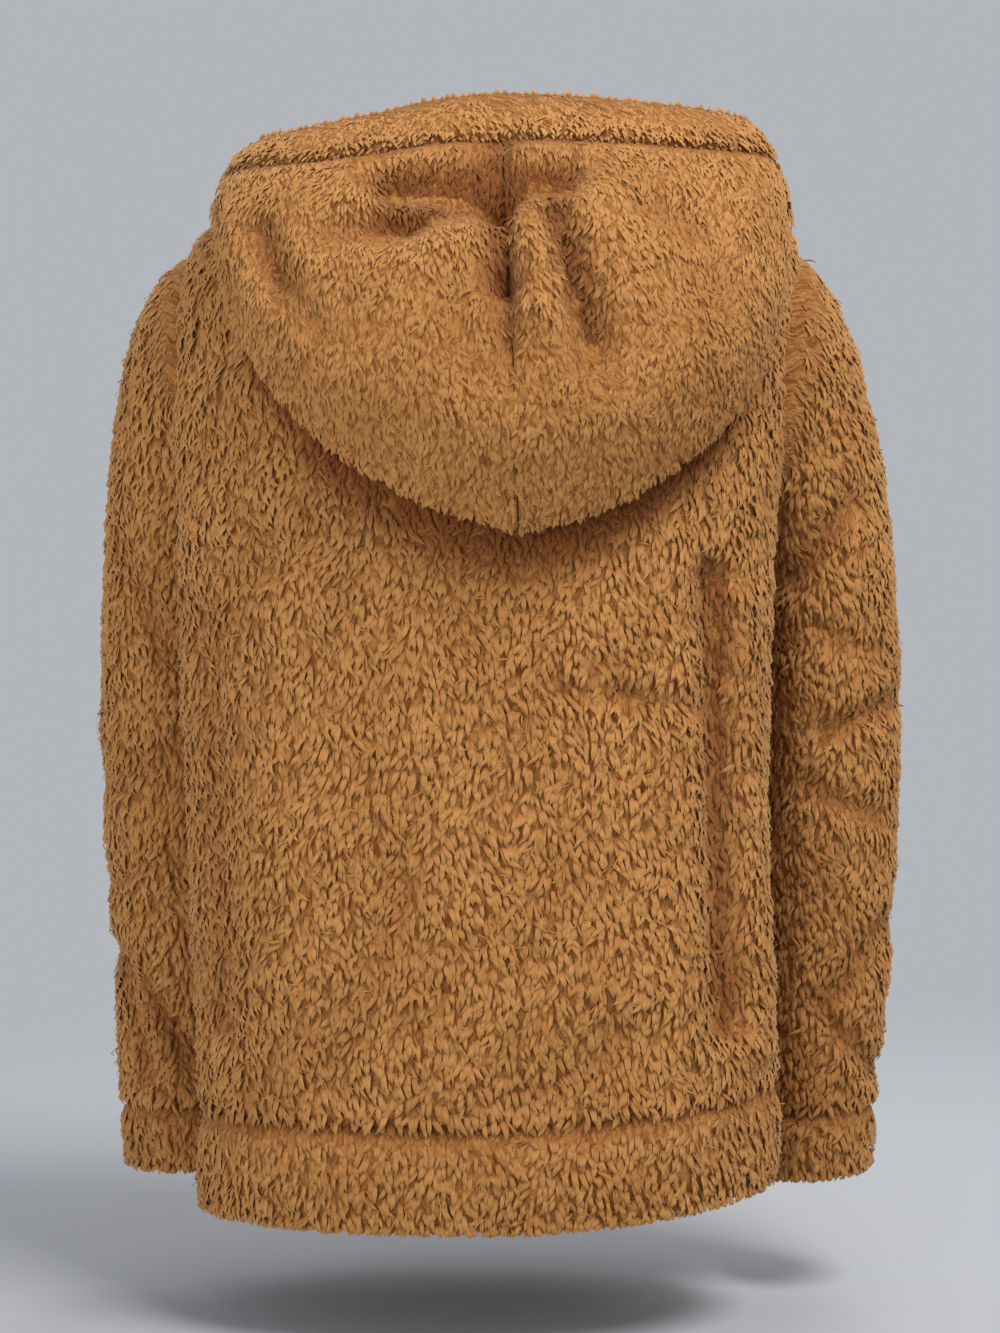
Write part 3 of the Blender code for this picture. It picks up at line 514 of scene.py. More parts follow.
def arm_sheet(side, start, stop):
    """A sleeve or cuff from one place along it to another; its columns close into a ring."""
    places = np.linspace(start, stop, 300)
    places = crowded(evenly(lambda a: sleeve(np.full(len(a), np.pi / 2), a, side), places))
    turns = np.linspace(0, 2 * np.pi, ARM_COLUMNS, endpoint=False)
    turn, along = np.meshgrid(turns, places)
    face = sleeve(turn, along, side)
    n = surface_normal(lambda t, a: sleeve(t, np.maximum(a, 0.0), side), turn, along, 0.02, 0.004)
    if np.sum(n * (face - face.mean(axis=1, keepdims=True))) < 0:
        n = -n
    near = np.clip(1 - along / 0.12, 0, 1)[..., None]
    beside = torso_normal(*armhole(turn, side, CURVED_GAP))
    return face, unit(n + (beside - n) * near), np.full(turn.shape, WALL)


def whole_hood():
    """The hood's sheets: right half, left half and the hem round the face opening."""
    rows = np.concatenate((np.arange(0, 3, 0.5), np.arange(3, 9, 0.25),
                           np.arange(9, LAST_ROW, 0.22), [LAST_ROW]))
    rows = np.concatenate((rows, LAST_ROW + np.linspace(0, 1, 7)[1:]))
    seam = int(np.searchsorted(rows, LAST_ROW))
    ways = np.linspace(GAP / 2 / 0.16, 1, HALF_HOOD_COLUMNS)
    across = np.concatenate((-ways[::-1], ways))
    face, n = hood_sheet(across, rows)
    middle = len(ways)
    lower = n[rows > 10]
    n = -n if np.sum(lower[:, middle - 5:middle + 5, 1]) < 0 else n
    for _ in range(3):
        n[:, 1:-1] = unit(n[:, :-2] + 2 * n[:, 1:-1] + n[:, 2:])
    start = np.radians([neck_degrees(1 - abs(w)) for w in across])
    start = np.where(across > 0, start, np.pi - start)
    for row, share in enumerate(np.clip(1 - rows[rows < 1.5] / 1.5, 0, 1)):
        n[row] = unit(n[row] + (torso_normal(start, 0.0) - n[row]) * share)
    wall = smooth_through(HOOD["left"], "way", ("wall",), 1 - np.abs(across)).T
    wall = np.repeat(wall, len(rows), axis=0)
    halves = [x[:seam + 1].copy() for x in (face, n, wall)]
    edge = [x[seam:].copy() for x in (face, n, wall + BAND_EXTRA)]
    halves[0][-1] += unit(halves[0][-2] - halves[0][-1]) * CURVED_GAP / 2
    edge[0][0] += unit(edge[0][1] - edge[0][0]) * CURVED_GAP / 2
    right = [x[:, :middle] for x in halves]
    left = [x[:, middle:] for x in halves]
    return right, left, edge, rows[:seam + 1], across


# ---------------------------------------------------------------- meshes

def mesh_object(name, points, loops, sides, slots, paints, maps, values):
    """An object from arrays.

    loops holds corner indices, sides the corners of each face and slots its material. maps are
    its UV maps, values its numbers at the points.
    """
    mesh = bpy.data.meshes.new(name)
    mesh.vertices.add(len(points))
    mesh.vertices.foreach_set("co", np.asarray(points, np.float32).ravel())
    mesh.loops.add(len(loops))
    mesh.loops.foreach_set("vertex_index", np.asarray(loops, np.int32))
    mesh.polygons.add(len(sides))
    starts = np.concatenate(([0], np.cumsum(sides)[:-1]))
    mesh.polygons.foreach_set("loop_start", starts.astype(np.int32))
    for paint in paints:
        mesh.materials.append(paint)
    mesh.polygons.foreach_set("material_index", np.asarray(slots, np.int32))
    mesh.polygons.foreach_set("use_smooth", np.ones(len(sides), bool))
    mesh.update(calc_edges=True)
    for title, places in maps.items():
        layer = mesh.uv_layers.new(name=title)
        layer.uv.foreach_set("vector", np.asarray(places, np.float32).ravel())
    for title, numbers in values.items():
        layer = mesh.attributes.new(title, "FLOAT", "POINT")
        layer.data.foreach_set("value", np.asarray(numbers, np.float32))
    made = bpy.data.objects.new(name, mesh)
    bpy.context.scene.collection.objects.link(made)
    return made


def lengths(face, axis):
    """Distance of every grid point from the sheet's first row or column."""
    step = np.linalg.norm(np.diff(face, axis=axis), axis=-1)
    first = np.zeros_like(step[:1] if axis == 0 else step[:, :1])
    return np.concatenate((first, np.cumsum(step, axis=axis)), axis=axis)


def from_seams(face, ring, ends, sides):
    """Distance of every grid point from the nearest sewn edge of the sheet."""
    down, over = lengths(face, 0), lengths(face, 1)
    gaps = [(down, ends[0]), (down[-1:] - down, ends[1])]
    if not ring:
        gaps += [(over, sides[0]), (over[:, -1:] - over, sides[1])]
    sewn = [gap for gap, kind in gaps if kind == "seam"]
    return np.min(sewn, axis=0) if sewn else np.full(down.shape, 1.0)


def bake_places(corners, shape, quads, rims):
    """Places for baking: the outer side in one half, the inner in the other, the rim between."""
    rows, columns = shape
    grid = np.meshgrid(np.linspace(0, 1, rows), np.linspace(0, 1, columns), indexing="ij")
    at = np.stack(grid, -1).reshape(-1, 2)[corners % (rows * columns)][:, ::-1]
    inside = (corners >= rows * columns).astype(float)
    places = np.stack((at[:, 0] * 0.98 + 0.01, at[:, 1] * 0.47 + 0.01 + 0.5 * inside), -1)
    edge = np.arange(rims)[:, None] + np.array((0, 1, 1, 0))
    strip = np.tile((0.485, 0.485, 0.495, 0.495), (rims, 1))
    places[8 * quads:] = np.stack((edge / (rims + 1), strip), -1).reshape(-1, 2)
    return places


def shell(name, face, n, wall, depth, ring=False):
    """The cloth with the dense foot of its pile: a thin closed sheet.

    depth says how deep its outer side lies under the tips.
    """
    rows, columns = face.shape[:2]
    outer, inner = face - n * depth[..., None], face - n * wall[..., None]
    points = np.concatenate((outer.reshape(-1, 3), inner.reshape(-1, 3)))
    skin = rows * columns
    span = columns if ring else columns - 1
    r, c = np.meshgrid(np.arange(rows - 1), np.arange(span), indexing="ij")
    a, b = r * columns + c, r * columns + (c + 1) % columns
    quad = np.stack((a, b, b + columns, a + columns), -1).reshape(-1, 4)
    centre = face.reshape(-1, 3)[quad[0]]
    first = n.reshape(-1, 3)[quad[0, 0]]
    turned = np.cross(centre[1] - centre[0], centre[3] - centre[0]) @ first < 0
    quad = quad[:, ::-1] if turned else quad
    rim = [np.stack((a[0], b[0]), -1), np.stack((a[-1] + columns, b[-1] + columns), -1)[:, ::-1]]
    if not ring:
        down = np.arange(rows - 1) * columns
        rim += [np.stack((down + columns, down), -1),
                np.stack((down, down + columns), -1) + columns - 1]
    rim = np.concatenate(rim)
    rim = rim if turned else rim[:, ::-1]
    rim = np.stack((rim[:, 0], rim[:, 1], rim[:, 1] + skin, rim[:, 0] + skin), -1)
    faces = np.concatenate((quad, quad[:, ::-1] + skin, rim))

    down_length, across_length = lengths(face, 0), lengths(face, 1)
    woven = np.stack((across_length, down_length), -1).reshape(-1, 2)
    flat = faces.ravel()
    bake = bake_places(flat, (rows, columns), len(quad), len(rim))
    slots = np.concatenate((np.zeros(len(quad)), np.ones(len(quad)), np.zeros(len(rim))))
    return mesh_object(name, points, flat, np.full(len(faces), 4), slots,
                       [paint("pile roots"), paint("knit backing")],
                       {"cloth": woven[flat % skin], "OFBake": bake}, {})


def drift(points, scale, seed):
    """Smooth noise from -1 to 1 over space, with waves about `scale` metres long."""
    rng = np.random.default_rng(seed)
    total = np.zeros(points.shape[:-1])
    for _ in range(7):
        way = unit(rng.normal(size=3)) * rng.uniform(0.6, 1.7) * 2 * np.pi / scale
        total += np.sin(points @ way + rng.uniform(0, 2 * np.pi))
    return np.clip(total / 2.6, -1, 1)


def closed(grid):
    """The grid with its first column once more at the end."""
    return np.concatenate((grid, grid[:, :1]), axis=1)


def cell_areas(face):
    """Area of every quad of a grid."""
    a, b, c, d = face[:-1, :-1], face[:-1, 1:], face[1:, 1:], face[1:, :-1]
    return np.linalg.norm(np.cross(c - a, d - b), axis=-1) / 2


# Least and most of a full size that a lock, or a stray strand beside it, may have.
LOCK_SHARES = {"stand": (0.78, 1.22), "reach": (0.72, 1.28), "width": (0.75, 1.3)}
STRAY_SHARES = {"stand": (0.95, 1.45), "reach": (0.8, 1.15)}
STRAY_WIDTH = 0.28
PAST_EDGE = 0.0035        # how far locks may reach past an open edge
FULL_SHADE = 0.75         # how much painted shade darkens the pile in a trough or under the hood


def swung(along, across, angle):
    """Both directions of the locks turned by an angle, about their normals."""
    c, s = np.cos(angle)[:, None], np.sin(angle)[:, None]
    return along * c + across * s, across * c - along * s


def scatter(number, rng):
    """Cells of the locks and their places within them, for a number of locks in every cell.

    A running sum over the cells spreads them evenly, and each row starts it at its own phase.
    """
    rows, columns = number.shape
    phase = np.repeat(rng.uniform(0, 1, rows), columns)
    marks = np.floor(np.cumsum(number.ravel()) + phase)
    count = np.maximum(np.diff(np.concatenate(([np.floor(phase[0])], marks))), 0).astype(int)
    where = np.repeat(np.arange(len(count)), count)
    down, over = rng.uniform(0.02, 0.98, (2, len(where)))
    return where // columns, where % columns, down, over


def reader(row, column, down, over):
    """A function that reads any grid at the places of the locks."""
    shares = ((1 - down) * (1 - over), (1 - down) * over, down * over, down * (1 - over))
    shares = [share[:, None] for share in shares]

    def at(grid):
        value = grid if grid.ndim == 3 else grid[..., None]
        corners = (value[row, column], value[row, column + 1],
                   value[row + 1, column + 1], value[row + 1, column])
        mixed = sum(corner * share for corner, share in zip(corners, shares))
        return mixed if grid.ndim == 3 else mixed[:, 0]

    return at


def combed(nap, out, base, seed, rng):
    """Directions along and across the locks: the nap, swung in wide and small drifts."""
    along = unit(nap - out * np.sum(nap * out, -1, keepdims=True))
    swirl = 0.24 * drift(base, 0.06, seed + 1) + 0.16 * drift(base, 0.02, seed + 2)
    swirl += rng.normal(0, 0.17, len(base))
    return swung(along, np.cross(out, along), swirl)


def strays(whole, share, rng):
    """Thin strands that leave some of the locks and stand off them."""
    chosen = rng.uniform(size=len(whole[0])) < share
    base, out, along, across, stand, reach, width, *rest = [x[chosen] for x in whole]
    count = len(base)
    along, across = swung(along, across, rng.normal(0, 0.5, count))
    base = base + across * rng.normal(0, 0.0015, count)[:, None]
    stand = stand * rng.uniform(*STRAY_SHARES["stand"], count)
    reach = reach * rng.uniform(*STRAY_SHARES["reach"], count)
    return [base, out, along, across, stand, reach, width * STRAY_WIDTH, *rest]


def locks(name, face, n, wall, nap, look, seed, ring=False, ends=("seam", "seam"),
          sides=("seam", "seam"), keep=None, area=None, hollow=None, fine=1.0):
    """Pile over a sheet: bent, tapered locks that lie along the nap and stand less beside seams.

    nap gives the way the pile lies at every grid point. ends and sides say whether the first and
    last row and column are sewn ("seam"), an open edge ("free") or meet the next sheet flush
    ("butt"). keep thins the pile out, hollow darkens it as painted shade, area is the surface
    of one lock and fine scales its size. Beside seams the locks are darkened too, as painted shade.
    """
    rng = np.random.default_rng(seed)
    if ring:
        face, n, wall, nap, keep, hollow = (
            None if x is None else closed(x) for x in (face, n, wall, nap, keep, hollow))
    number = cell_areas(face) / (area or look.lock_area)
    if keep is not None:
        number = number * (keep[:-1, :-1] + keep[1:, 1:]) / 2
    at = reader(*scatter(number, rng))

    near = ease(at(from_seams(face, ring, ends, sides)), 0.0, look.seam_width)
    out, thick = unit(at(n)), at(wall)
    base = at(face) - out * (thick - SHELL)[:, None]
    along, across = combed(at(nap), out, base, seed, rng)

    def varied(part):
        return rng.uniform(*LOCK_SHARES[part], len(base))

    deep = np.maximum(thick - SHELL, look.least_pile)
    stand = deep * fine * (0.25 + 0.75 * near) * (1 + 0.16 * drift(base, 0.035, seed + 3))
    stand = stand * varied("stand")
    reach = look.lock_length * fine * (0.5 + 0.5 * near) * varied("reach")
    width = look.lock_width * fine * varied("width")
    tone = 0.5 + 0.2 * rng.normal(size=len(base)) + 0.22 * drift(base, 0.06, seed + 4)
    tone = np.clip(tone, 0, 1)
    curl = rng.normal(0, 0.16, len(base))
    curl[rng.uniform(size=len(base)) < 0.3] *= 2.0
    for gap, kind in ((lengths(face, 0), ends[0]), (lengths(face[::-1], 0)[::-1], ends[1])):
        if kind == "free":
            reach = np.minimum(reach, at(gap) + PAST_EDGE)
    # painted shade: the pile's colour is darkened towards its root colour beside seams, in fold troughs
    # and under the hood
    shade = FULL_SHADE * (0 if hollow is None else at(hollow))
    light = (0.35 + 0.65 * near) * (1 - shade)

    whole = [base, out, along, across, stand, reach, width, tone, curl, light]
    whole = [np.concatenate(pair) for pair in zip(whole, strays(whole, look.fuzz, rng))]
    if look.rim_locks:
        whole = rim_locks(whole, face, n, wall, ring, ends, sides, look, rng)
    return grow(name, whole)


def rim_locks(whole, face, n, wall, ring, ends, sides, look, rng):
    """Adds the locks that cover the open edges of a sheet and point past them."""
    lines = []
    turned = face.transpose(1, 0, 2), n.transpose(1, 0, 2), wall.T
    for grids, kinds in (((face, n, wall), ends), (turned, () if ring else sides)):
        for kind, last, before in zip(kinds, (0, -1), (1, -2)):
            if kind == "free":
                lines.append((*(grid[last] for grid in grids), grids[0][last] - grids[0][before]))
    for edge, out, thick, past in lines:
        length = np.concatenate(([0.0], np.cumsum(np.linalg.norm(np.diff(edge, axis=0), axis=1))))
        for depth, lean, tall in ((0.1, 0.7, 0.8), (0.4, 0.2, 0.6), (0.75, -0.5, 0.4)):
            count = int(length[-1] / 0.0040)
            place = (np.arange(count) + rng.uniform(0.1, 0.9, count)) / count * length[-1]

            def at(line):
                return np.stack([np.interp(place, length, column) for column in line.T], -1)

            o, p = unit(at(out)), unit(at(past))
            t = np.interp(place, length, thick)
            inner = np.maximum(t - SHELL, 0.0)
            root = at(edge) - o * (t - SHELL + SHELL * depth)[:, None] - p * 0.0015
            lie = unit(p + o * lean + rng.normal(0, 0.18, (count, 3)))
            face_out = unit(o - lie * np.sum(o * lie, -1, keepdims=True))
            added = [root, face_out, lie, np.cross(face_out, lie),
                     np.maximum(inner, look.least_pile) * tall * rng.uniform(0.6, 1.0, count),
                     look.lock_length * rng.uniform(0.3, 0.55, count),
                     look.lock_width * rng.uniform(0.8, 1.2, count),
                     np.clip(rng.normal(0.5, 0.2, count), 0, 1), rng.normal(0, 0.2, count),
                     # light factor of the rim locks: a little painted shade
                     np.full(count, 0.9)]
            whole = [np.concatenate(pair) for pair in zip(whole, added)]
    return whole


# Rings of a lock from its root to its tip: how far along it lies, how high it stands, how wide
# and how thick it is there, and how much of the sideways curl it has.
LOCK = {
    "along": (-0.04, 0.26, 0.68, 1.00),
    "high":  (-0.10, 0.70, 0.98, 0.70),
    "wide":  (0.75, 1.00, 0.80, 0.00),
    "thick": (0.26, 0.34, 0.30, 0.00),
    "curl":  (0.00, 0.10, 0.55, 1.00),
}


def grow(name, whole):
    """One mesh of ridged, tapering locks from their roots, frames and sizes."""
    base, out, along, across, stand, reach, width, tone, curl, light = whole
    points = []
    for k in range(4):
        middle = (base + along * (reach * LOCK["along"][k])[:, None]
                  + out * (stand * LOCK["high"][k])[:, None]
                  + across * (curl * reach * LOCK["curl"][k])[:, None])
        if k == 3:
            points.append(middle)
            break
        run = (along * (reach * (LOCK["along"][k + 1] - LOCK["along"][k]))[:, None]
               + out * (stand * (LOCK["high"][k + 1] - LOCK["high"][k]))[:, None])
        above = unit(np.cross(unit(run), across))
        above = above * np.sign(np.sum(above * out, -1, keepdims=True) + 1e-9)
        half = across * (width * LOCK["wide"][k] / 2)[:, None]
        points += [middle - half, middle + above * (width * LOCK["thick"][k])[:, None], middle + half]
    points = np.stack(points, 1)
    corners = [0, 1, 4, 3, 1, 2, 5, 4, 3, 4, 7, 6, 4, 5, 8, 7, 6, 7, 9, 7, 8, 9]
    a, b, c = points[0][[0, 1, 4]]
    turned = np.cross(b - a, c - a) @ out[0] < 0
    sides = [4, 4, 4, 4, 3, 3]
    if turned:
        corners, sides = corners[::-1], sides[::-1]
    m, per = len(base), points.shape[1]
    loops = (np.arange(m)[:, None] * per + np.array(corners)).ravel()

    cells = int(math.ceil(math.sqrt(m)))
    spot = np.stack((np.arange(m) % cells, np.arange(m) // cells), -1)
    place = np.array([(u, v) for v in (0.06, 0.36, 0.68) for u in (0.08, 0.50, 0.92)] + [(0.50, 0.94)])
    bake = (spot[:, None] + place[corners]) / cells
    # along runs from root to tip, scaled by the light factor, which is painted shade from troughs,
    # seams and the hood
    values = {"along": (np.array((0, 0, 0, 1, 1, 1, 2, 2, 2, 3)) / 3 * light[:, None]).ravel(),
              "across": np.tile((0, 0.5, 1, 0, 0.5, 1, 0, 0.5, 1, 0.5), m),
              "tone": np.repeat(tone, per)}
    return mesh_object(name, points.reshape(-1, 3), loops, np.tile(sides, m), np.zeros(6 * m),
                       [paint("pile")], {"OFBake": bake.reshape(-1, 2)}, values)


# ---------------------------------------------------------------- materials

class Wire:
    """A value socket. An expression on wires adds its Math nodes."""

    def __init__(self, board, socket):
        self.board, self.socket = board, socket

    def __add__(self, other):
        return self.board.maths("ADD", self, other)

    def __mul__(self, other):
        return self.board.maths("MULTIPLY", self, other)

    def __sub__(self, other):
        return self.board.maths("SUBTRACT", self, other)

    def __rsub__(self, other):
        return self.board.maths("SUBTRACT", other, self)

    def __truediv__(self, other):
        return self.board.maths("DIVIDE", self, other)

    def __rtruediv__(self, other):
        return self.board.maths("DIVIDE", other, self)

    def __pow__(self, other):
        return self.board.maths("POWER", self, other)

    __radd__, __rmul__ = __add__, __mul__


class Board:
    """A material's node tree, with its Principled shader."""

    def __init__(self, name):
        self.material = bpy.data.materials.new(name)
        self.material.use_nodes = True
        self.tree = self.material.node_tree
        self.shader = self.tree.nodes["Principled BSDF"]

    def node(self, kind, settings=None, inputs=None, output=0):
        """One node: its settings, then the values or links of its sockets; returns one output."""
        made = self.tree.nodes.new(kind)
        for key, value in (settings or {}).items():
            setattr(made, key, value)
        for key, value in (inputs or {}).items():
            self.feed(made.inputs[key], value)
        return Wire(self, made.outputs[output])

    def feed(self, socket, value):
        """Links a wire to a socket, or sets the socket's own value."""
        if isinstance(value, Wire):
            self.tree.links.new(value.socket, socket)
        else:
            socket.default_value = value

    def maths(self, operation, *values):
        """One Math node."""
        return self.node("ShaderNodeMath", {"operation": operation}, dict(enumerate(values)))

    def smooth(self, value, low, high):
        """0 below low, 1 above high, with a soft step between them."""
        return self.node("ShaderNodeMapRange", {"interpolation_type": "SMOOTHSTEP"},
                         {0: value, 1: low, 2: high, 3: 0.0, 4: 1.0})

    def blend(self, share, first, second):
        """One colour run into another."""
        return self.node("ShaderNodeMix", {"data_type": "RGBA"}, {0: share, 6: first, 7: second}, 2)

    def value(self, name):
        """The number that the mesh holds at its points under this name."""
        return self.node("ShaderNodeAttribute", {"attribute_name": name}, output=2)

    def noise(self, vector, scale, detail=2.0, rough=0.5):
        """Noise from 0 to 1 over a vector."""
        return self.node("ShaderNodeTexNoise", None,
                         {"Vector": vector, "Scale": scale, "Detail": detail, "Roughness": rough})

    def vector(self, x, y, z=0.0):
        """A vector from its three parts."""
        return self.node("ShaderNodeCombineXYZ", None, {0: x, 1: y, 2: z})

    def apart(self, vector):
        """The three parts of a vector."""
        made = self.tree.nodes.new("ShaderNodeSeparateXYZ")
        self.feed(made.inputs[0], vector)
        return [Wire(self, socket) for socket in made.outputs]

    def bump(self, height, strength, distance):
        """Feeds the shader's normal from a height."""
        made = self.node("ShaderNodeBump", None,
                         {"Height": height, "Strength": strength, "Distance": distance})
        self.feed(self.shader.inputs["Normal"], made)

    def colour(self, value):
        """Feeds the shader's base colour."""
        self.feed(self.shader.inputs["Base Color"], value)

    def set(self, **values):
        """Sets the shader's own values and returns the material."""
        for key, value in values.items():
            self.feed(self.shader.inputs[key.replace("_", " ")], value)
        return self.material


def place_of(board):
    """Place on the object, in metres."""
    return board.node("ShaderNodeTexCoord", output=3)


def pile_paint(board, colours):
    """Lock colour from a root darkened as painted shade to its tip, with fine hair streaks and wide
    patches.
    """
    along, across, tone = board.value("along"), board.value("across"), board.value("tone")
    place = place_of(board)
    strand = board.vector(across * 5.0 + tone * 67.0, along * 1.3 + tone * 31.0, tone * 13.0)
    hairs = board.noise(strand, 1.6)
    patch = board.noise(place, 9.0)
    light = board.smooth(tone * 0.75 + hairs * 0.55 - 0.15, 0.1, 0.95)
    tip = board.blend(light, tuple(colours.tip_dark), tuple(colours.tip_light))
    tip = board.blend(board.smooth(patch, 0.50, 0.72) * 0.35, tip, tuple(colours.tip_warm))
    # painted shade: the darker root colour at the foot of each lock, and where along is scaled down in
    # troughs, beside seams and under the hood
    grown = board.smooth(along + hairs * 0.25 - 0.1, 0.06, 0.62)
    board.colour(board.blend(grown, tuple(colours.root), tip))
    board.bump(hairs, 0.55, 0.0006)
    return board.set(Roughness=0.78, Specular_IOR_Level=0.18, Sheen_Weight=0.28, Sheen_Roughness=0.5,
                     Sheen_Tint=(1.0, 0.72, 0.42, 1.0))


def root_paint(board, colours):
    """The dense foot of the pile: streaks along the nap, with painted shade between the tufts."""
    x, y, _ = board.apart(board.node("ShaderNodeUVMap", {"uv_map": "cloth"}))
    place = place_of(board)
    bent = board.noise(place, 70.0)
    tufts = board.noise(board.vector(x * 330.0 + bent * 6.0, y * 95.0 + bent * 3.0), 1.0, 3.0, 0.6)
    # painted shade: the root colour between the tufts
    board.colour(board.blend(board.smooth(tufts, 0.32, 0.62), tuple(colours.root),
                             tuple(colours.tip_dark)))
    board.bump(tufts, 1.0, 0.0035)
    return board.set(Roughness=0.9, Specular_IOR_Level=0.1, Sheen_Weight=0.2, Sheen_Roughness=0.5,
                     Sheen_Tint=(1.0, 0.72, 0.42, 1.0))


def backing_paint(board, colours):
    """Jersey back of the fleece: columns of small stitches, a little fuzzy."""
    x, y, _ = board.apart(board.node("ShaderNodeUVMap", {"uv_map": "cloth"}))
    place = place_of(board)
    wobble = board.noise(place, 60.0)
    wale = board.maths("SINE", (x + wobble * 0.0007) * (2 * math.pi / 0.0016))
    lean = board.maths("ABSOLUTE", wale)
    course = board.maths("SINE", (y + lean * 0.0005) * (2 * math.pi / 0.0013))
    knit = lean * 0.65 + course * 0.2 + board.noise(place, 900.0) * 0.3
    tone = board.noise(place, 24.0, 3.0)
    colour = board.blend(board.smooth(knit, 0.0, 0.9), tuple(colours.knit_dark), tuple(colours.knit))
    board.colour(board.blend(board.smooth(tone, 0.4, 0.7) * 0.35, colour, tuple(colours.tip_dark)))
    board.bump(knit, 0.7, 0.0004)
    return board.set(Roughness=0.92, Specular_IOR_Level=0.15, Sheen_Weight=0.15, Sheen_Roughness=0.6)


def tape_paint(board, colours):
    """Woven zip tape: a fine herringbone of warp ribs."""
    place = place_of(board)
    x, _, z = board.apart(place)
    side = board.maths("ABSOLUTE", x) * (1 / 0.0011)
    slant = board.maths("PINGPONG", side, 1.0) * 0.0011 + z
    twill = board.maths("SINE", slant * (2 * math.pi / 0.0010))
    ribs = board.maths("SINE", x * (2 * math.pi / 0.0009))
    weave = twill * 0.5 + ribs * 0.35 + board.noise(place, 1400.0) * 0.4
    board.colour(board.blend(board.smooth(weave, -0.5, 0.9), tuple(colours.tape_dark),
                             tuple(colours.tape)))
    board.bump(weave, 0.6, 0.0003)
    return board.set(Roughness=0.85, Specular_IOR_Level=0.25)


def metal_paint(board, colours):
    """Antique brass: browned in patches, with fine rubbed scratches."""
    place = place_of(board)
    brown = board.noise(place, 260.0, 4.0, 0.6)
    rubbed = board.noise(place, 1500.0)
    board.colour(board.blend(board.smooth(brown, 0.35, 0.7), tuple(colours.metal),
                             tuple(colours.metal_dark)))
    board.feed(board.shader.inputs["Roughness"], brown * 0.35 + rubbed * 0.15 + 0.18)
    board.bump(rubbed, 0.25, 0.0001)
    return board.set(Metallic=0.95)


def floor_paint(board, colours):
    """Pale floor that fades into the plain surroundings."""
    x, y, _ = board.apart(place_of(board))
    away = (x * x + y * y) ** 0.5
    board.set(Base_Color=(0.46, 0.47, 0.49, 1.0), Roughness=0.9, Specular_IOR_Level=0.1)
    clear = board.node("ShaderNodeBsdfTransparent")
    lit = Wire(board, board.shader.outputs[0])
    mixed = board.node("ShaderNodeMixShader", None, {0: board.smooth(away, 0.5, 1.7), 1: lit, 2: clear})
    board.feed(board.tree.nodes["Material Output"].inputs["Surface"], mixed)
    return board.material


PAINTS = {
    "pile": pile_paint,
    "pile roots": root_paint,
    "knit backing": backing_paint,
    "zip tape": tape_paint,
    "zip metal": metal_paint,
    "floor": floor_paint,
}


def paint(name):
    """The material of that name, made the first time it is asked for."""
    return bpy.data.materials.get(name) or PAINTS[name](Board(name), bpy.context.scene.hoodie_colours)


# ---------------------------------------------------------------- pieces

BODY = "garment"
SEED = {"back_panel": 11, "front_left": 21, "front_right": 31, "hem_band": 41, "sleeve_left": 51,
        "cuff_left": 56, "sleeve_right": 61, "cuff_right": 66, "hood_right": 71, "hood_left": 81,
        "hood_edge": 91}
HOOD_BLOCK = 0.37, 0.37       # flat block of a hood half
HOOD_PILE = {"area": 11.5e-6, "fine": 0.80}
UNDER_HOOD = 0.005, 0.060     # painted shadow of the hood on the back, from full to none below its fold


def cloth(node, face, n, wall, nap, held="draped", rests_on=(), flat=None, puff=0.0, **edges):
    """Shell and pile of one cut piece, in place of its solid. puff: how far its middle swells."""
    look = bpy.context.scene.hoodie_pile
    ring = edges.get("ring", False)
    face = face + n * (puff * np.sin(np.pi * np.linspace(0, 1, len(face))) ** 0.7)[:, None, None]
    both = ("seam", "seam")
    sewn = from_seams(face, ring, edges.get("ends", both), edges.get("sides", both))
    dense = np.maximum(wall - SHELL - look.loose_pile * edges.get("fine", 1.0) ** 2, 0)
    depth = wall - SHELL - ease(sewn, 0.001, look.seam_width) * dense
    backing = shell(node + "_shell", face, n, wall, depth, ring)
    pile = locks(node + "_pile", face, n, wall, nap, look, SEED[node], **edges)
    for piece in (backing, pile):
        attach(piece, BODY)
        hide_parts(node)
    shut = closed(face) if ring else face
    area = float(np.sum(cell_areas(shut)))
    width, length = flat or (float(lengths(shut, 1)[:, -1].max()),
                             float(lengths(shut, 0)[-1].max()))


def downwards(face, sign=1.0):
    """The way the rows of a sheet run, at every point."""
    return np.gradient(face, axis=0) * sign


def below_hood(face):
    """How far the points of the back lie below the fold of the lowered hood (negative: under it)."""
    ways = np.linspace(0.42, 1.0, 40)
    line = []
    for side in ("left", "right"):
        turn, ring = np.moveaxis(smooth_through(HOOD[side], "way", ("angle", "ring"), ways), -1, 0)
        turn = turn if side == "left" else 180 - turn
        line.append(torso(np.radians(turn), ring)[:, [0, 2]])
    line = np.concatenate((line[0], line[1][::-1]))
    line = line[np.argsort(line[:, 0])]
    inside = (face[..., 0] > line[0, 0]) & (face[..., 0] < line[-1, 0])
    return np.where(inside, np.interp(face[..., 0], line[:, 0], line[:, 1]) - face[..., 2], 0.1)


class HOODIE_OT_torso(bpy.types.Operator):
    """Cloth and pile of the back and the fronts"""
    bl_idname = "hoodie.torso"
    bl_label = "Back and fronts"

    def execute(self, context):
        face, n, wall, nap = panel_sheet("back")
        below = below_hood(face)
        # painted shadow of the lowered hood on the back's pile, joined with the painted shade of the
        # folds
        shade = 1.25 * (1 - ease(below, *UNDER_HOOD)) * ease(face[..., 1], 0.02, 0.06)
        cloth("back_panel", face, n, wall, nap, held="hung", keep=ease(below, -0.050, -0.035),
              hollow=np.maximum(hollows(face, "torso_back"), shade))
        for side in ("left", "right"):
            face, n, wall, nap = panel_sheet("front", side)
            cloth("front_" + side, face, n, wall, nap, held="hung",
                  hollow=hollows(face, "torso_front"))
        return {"FINISHED"}


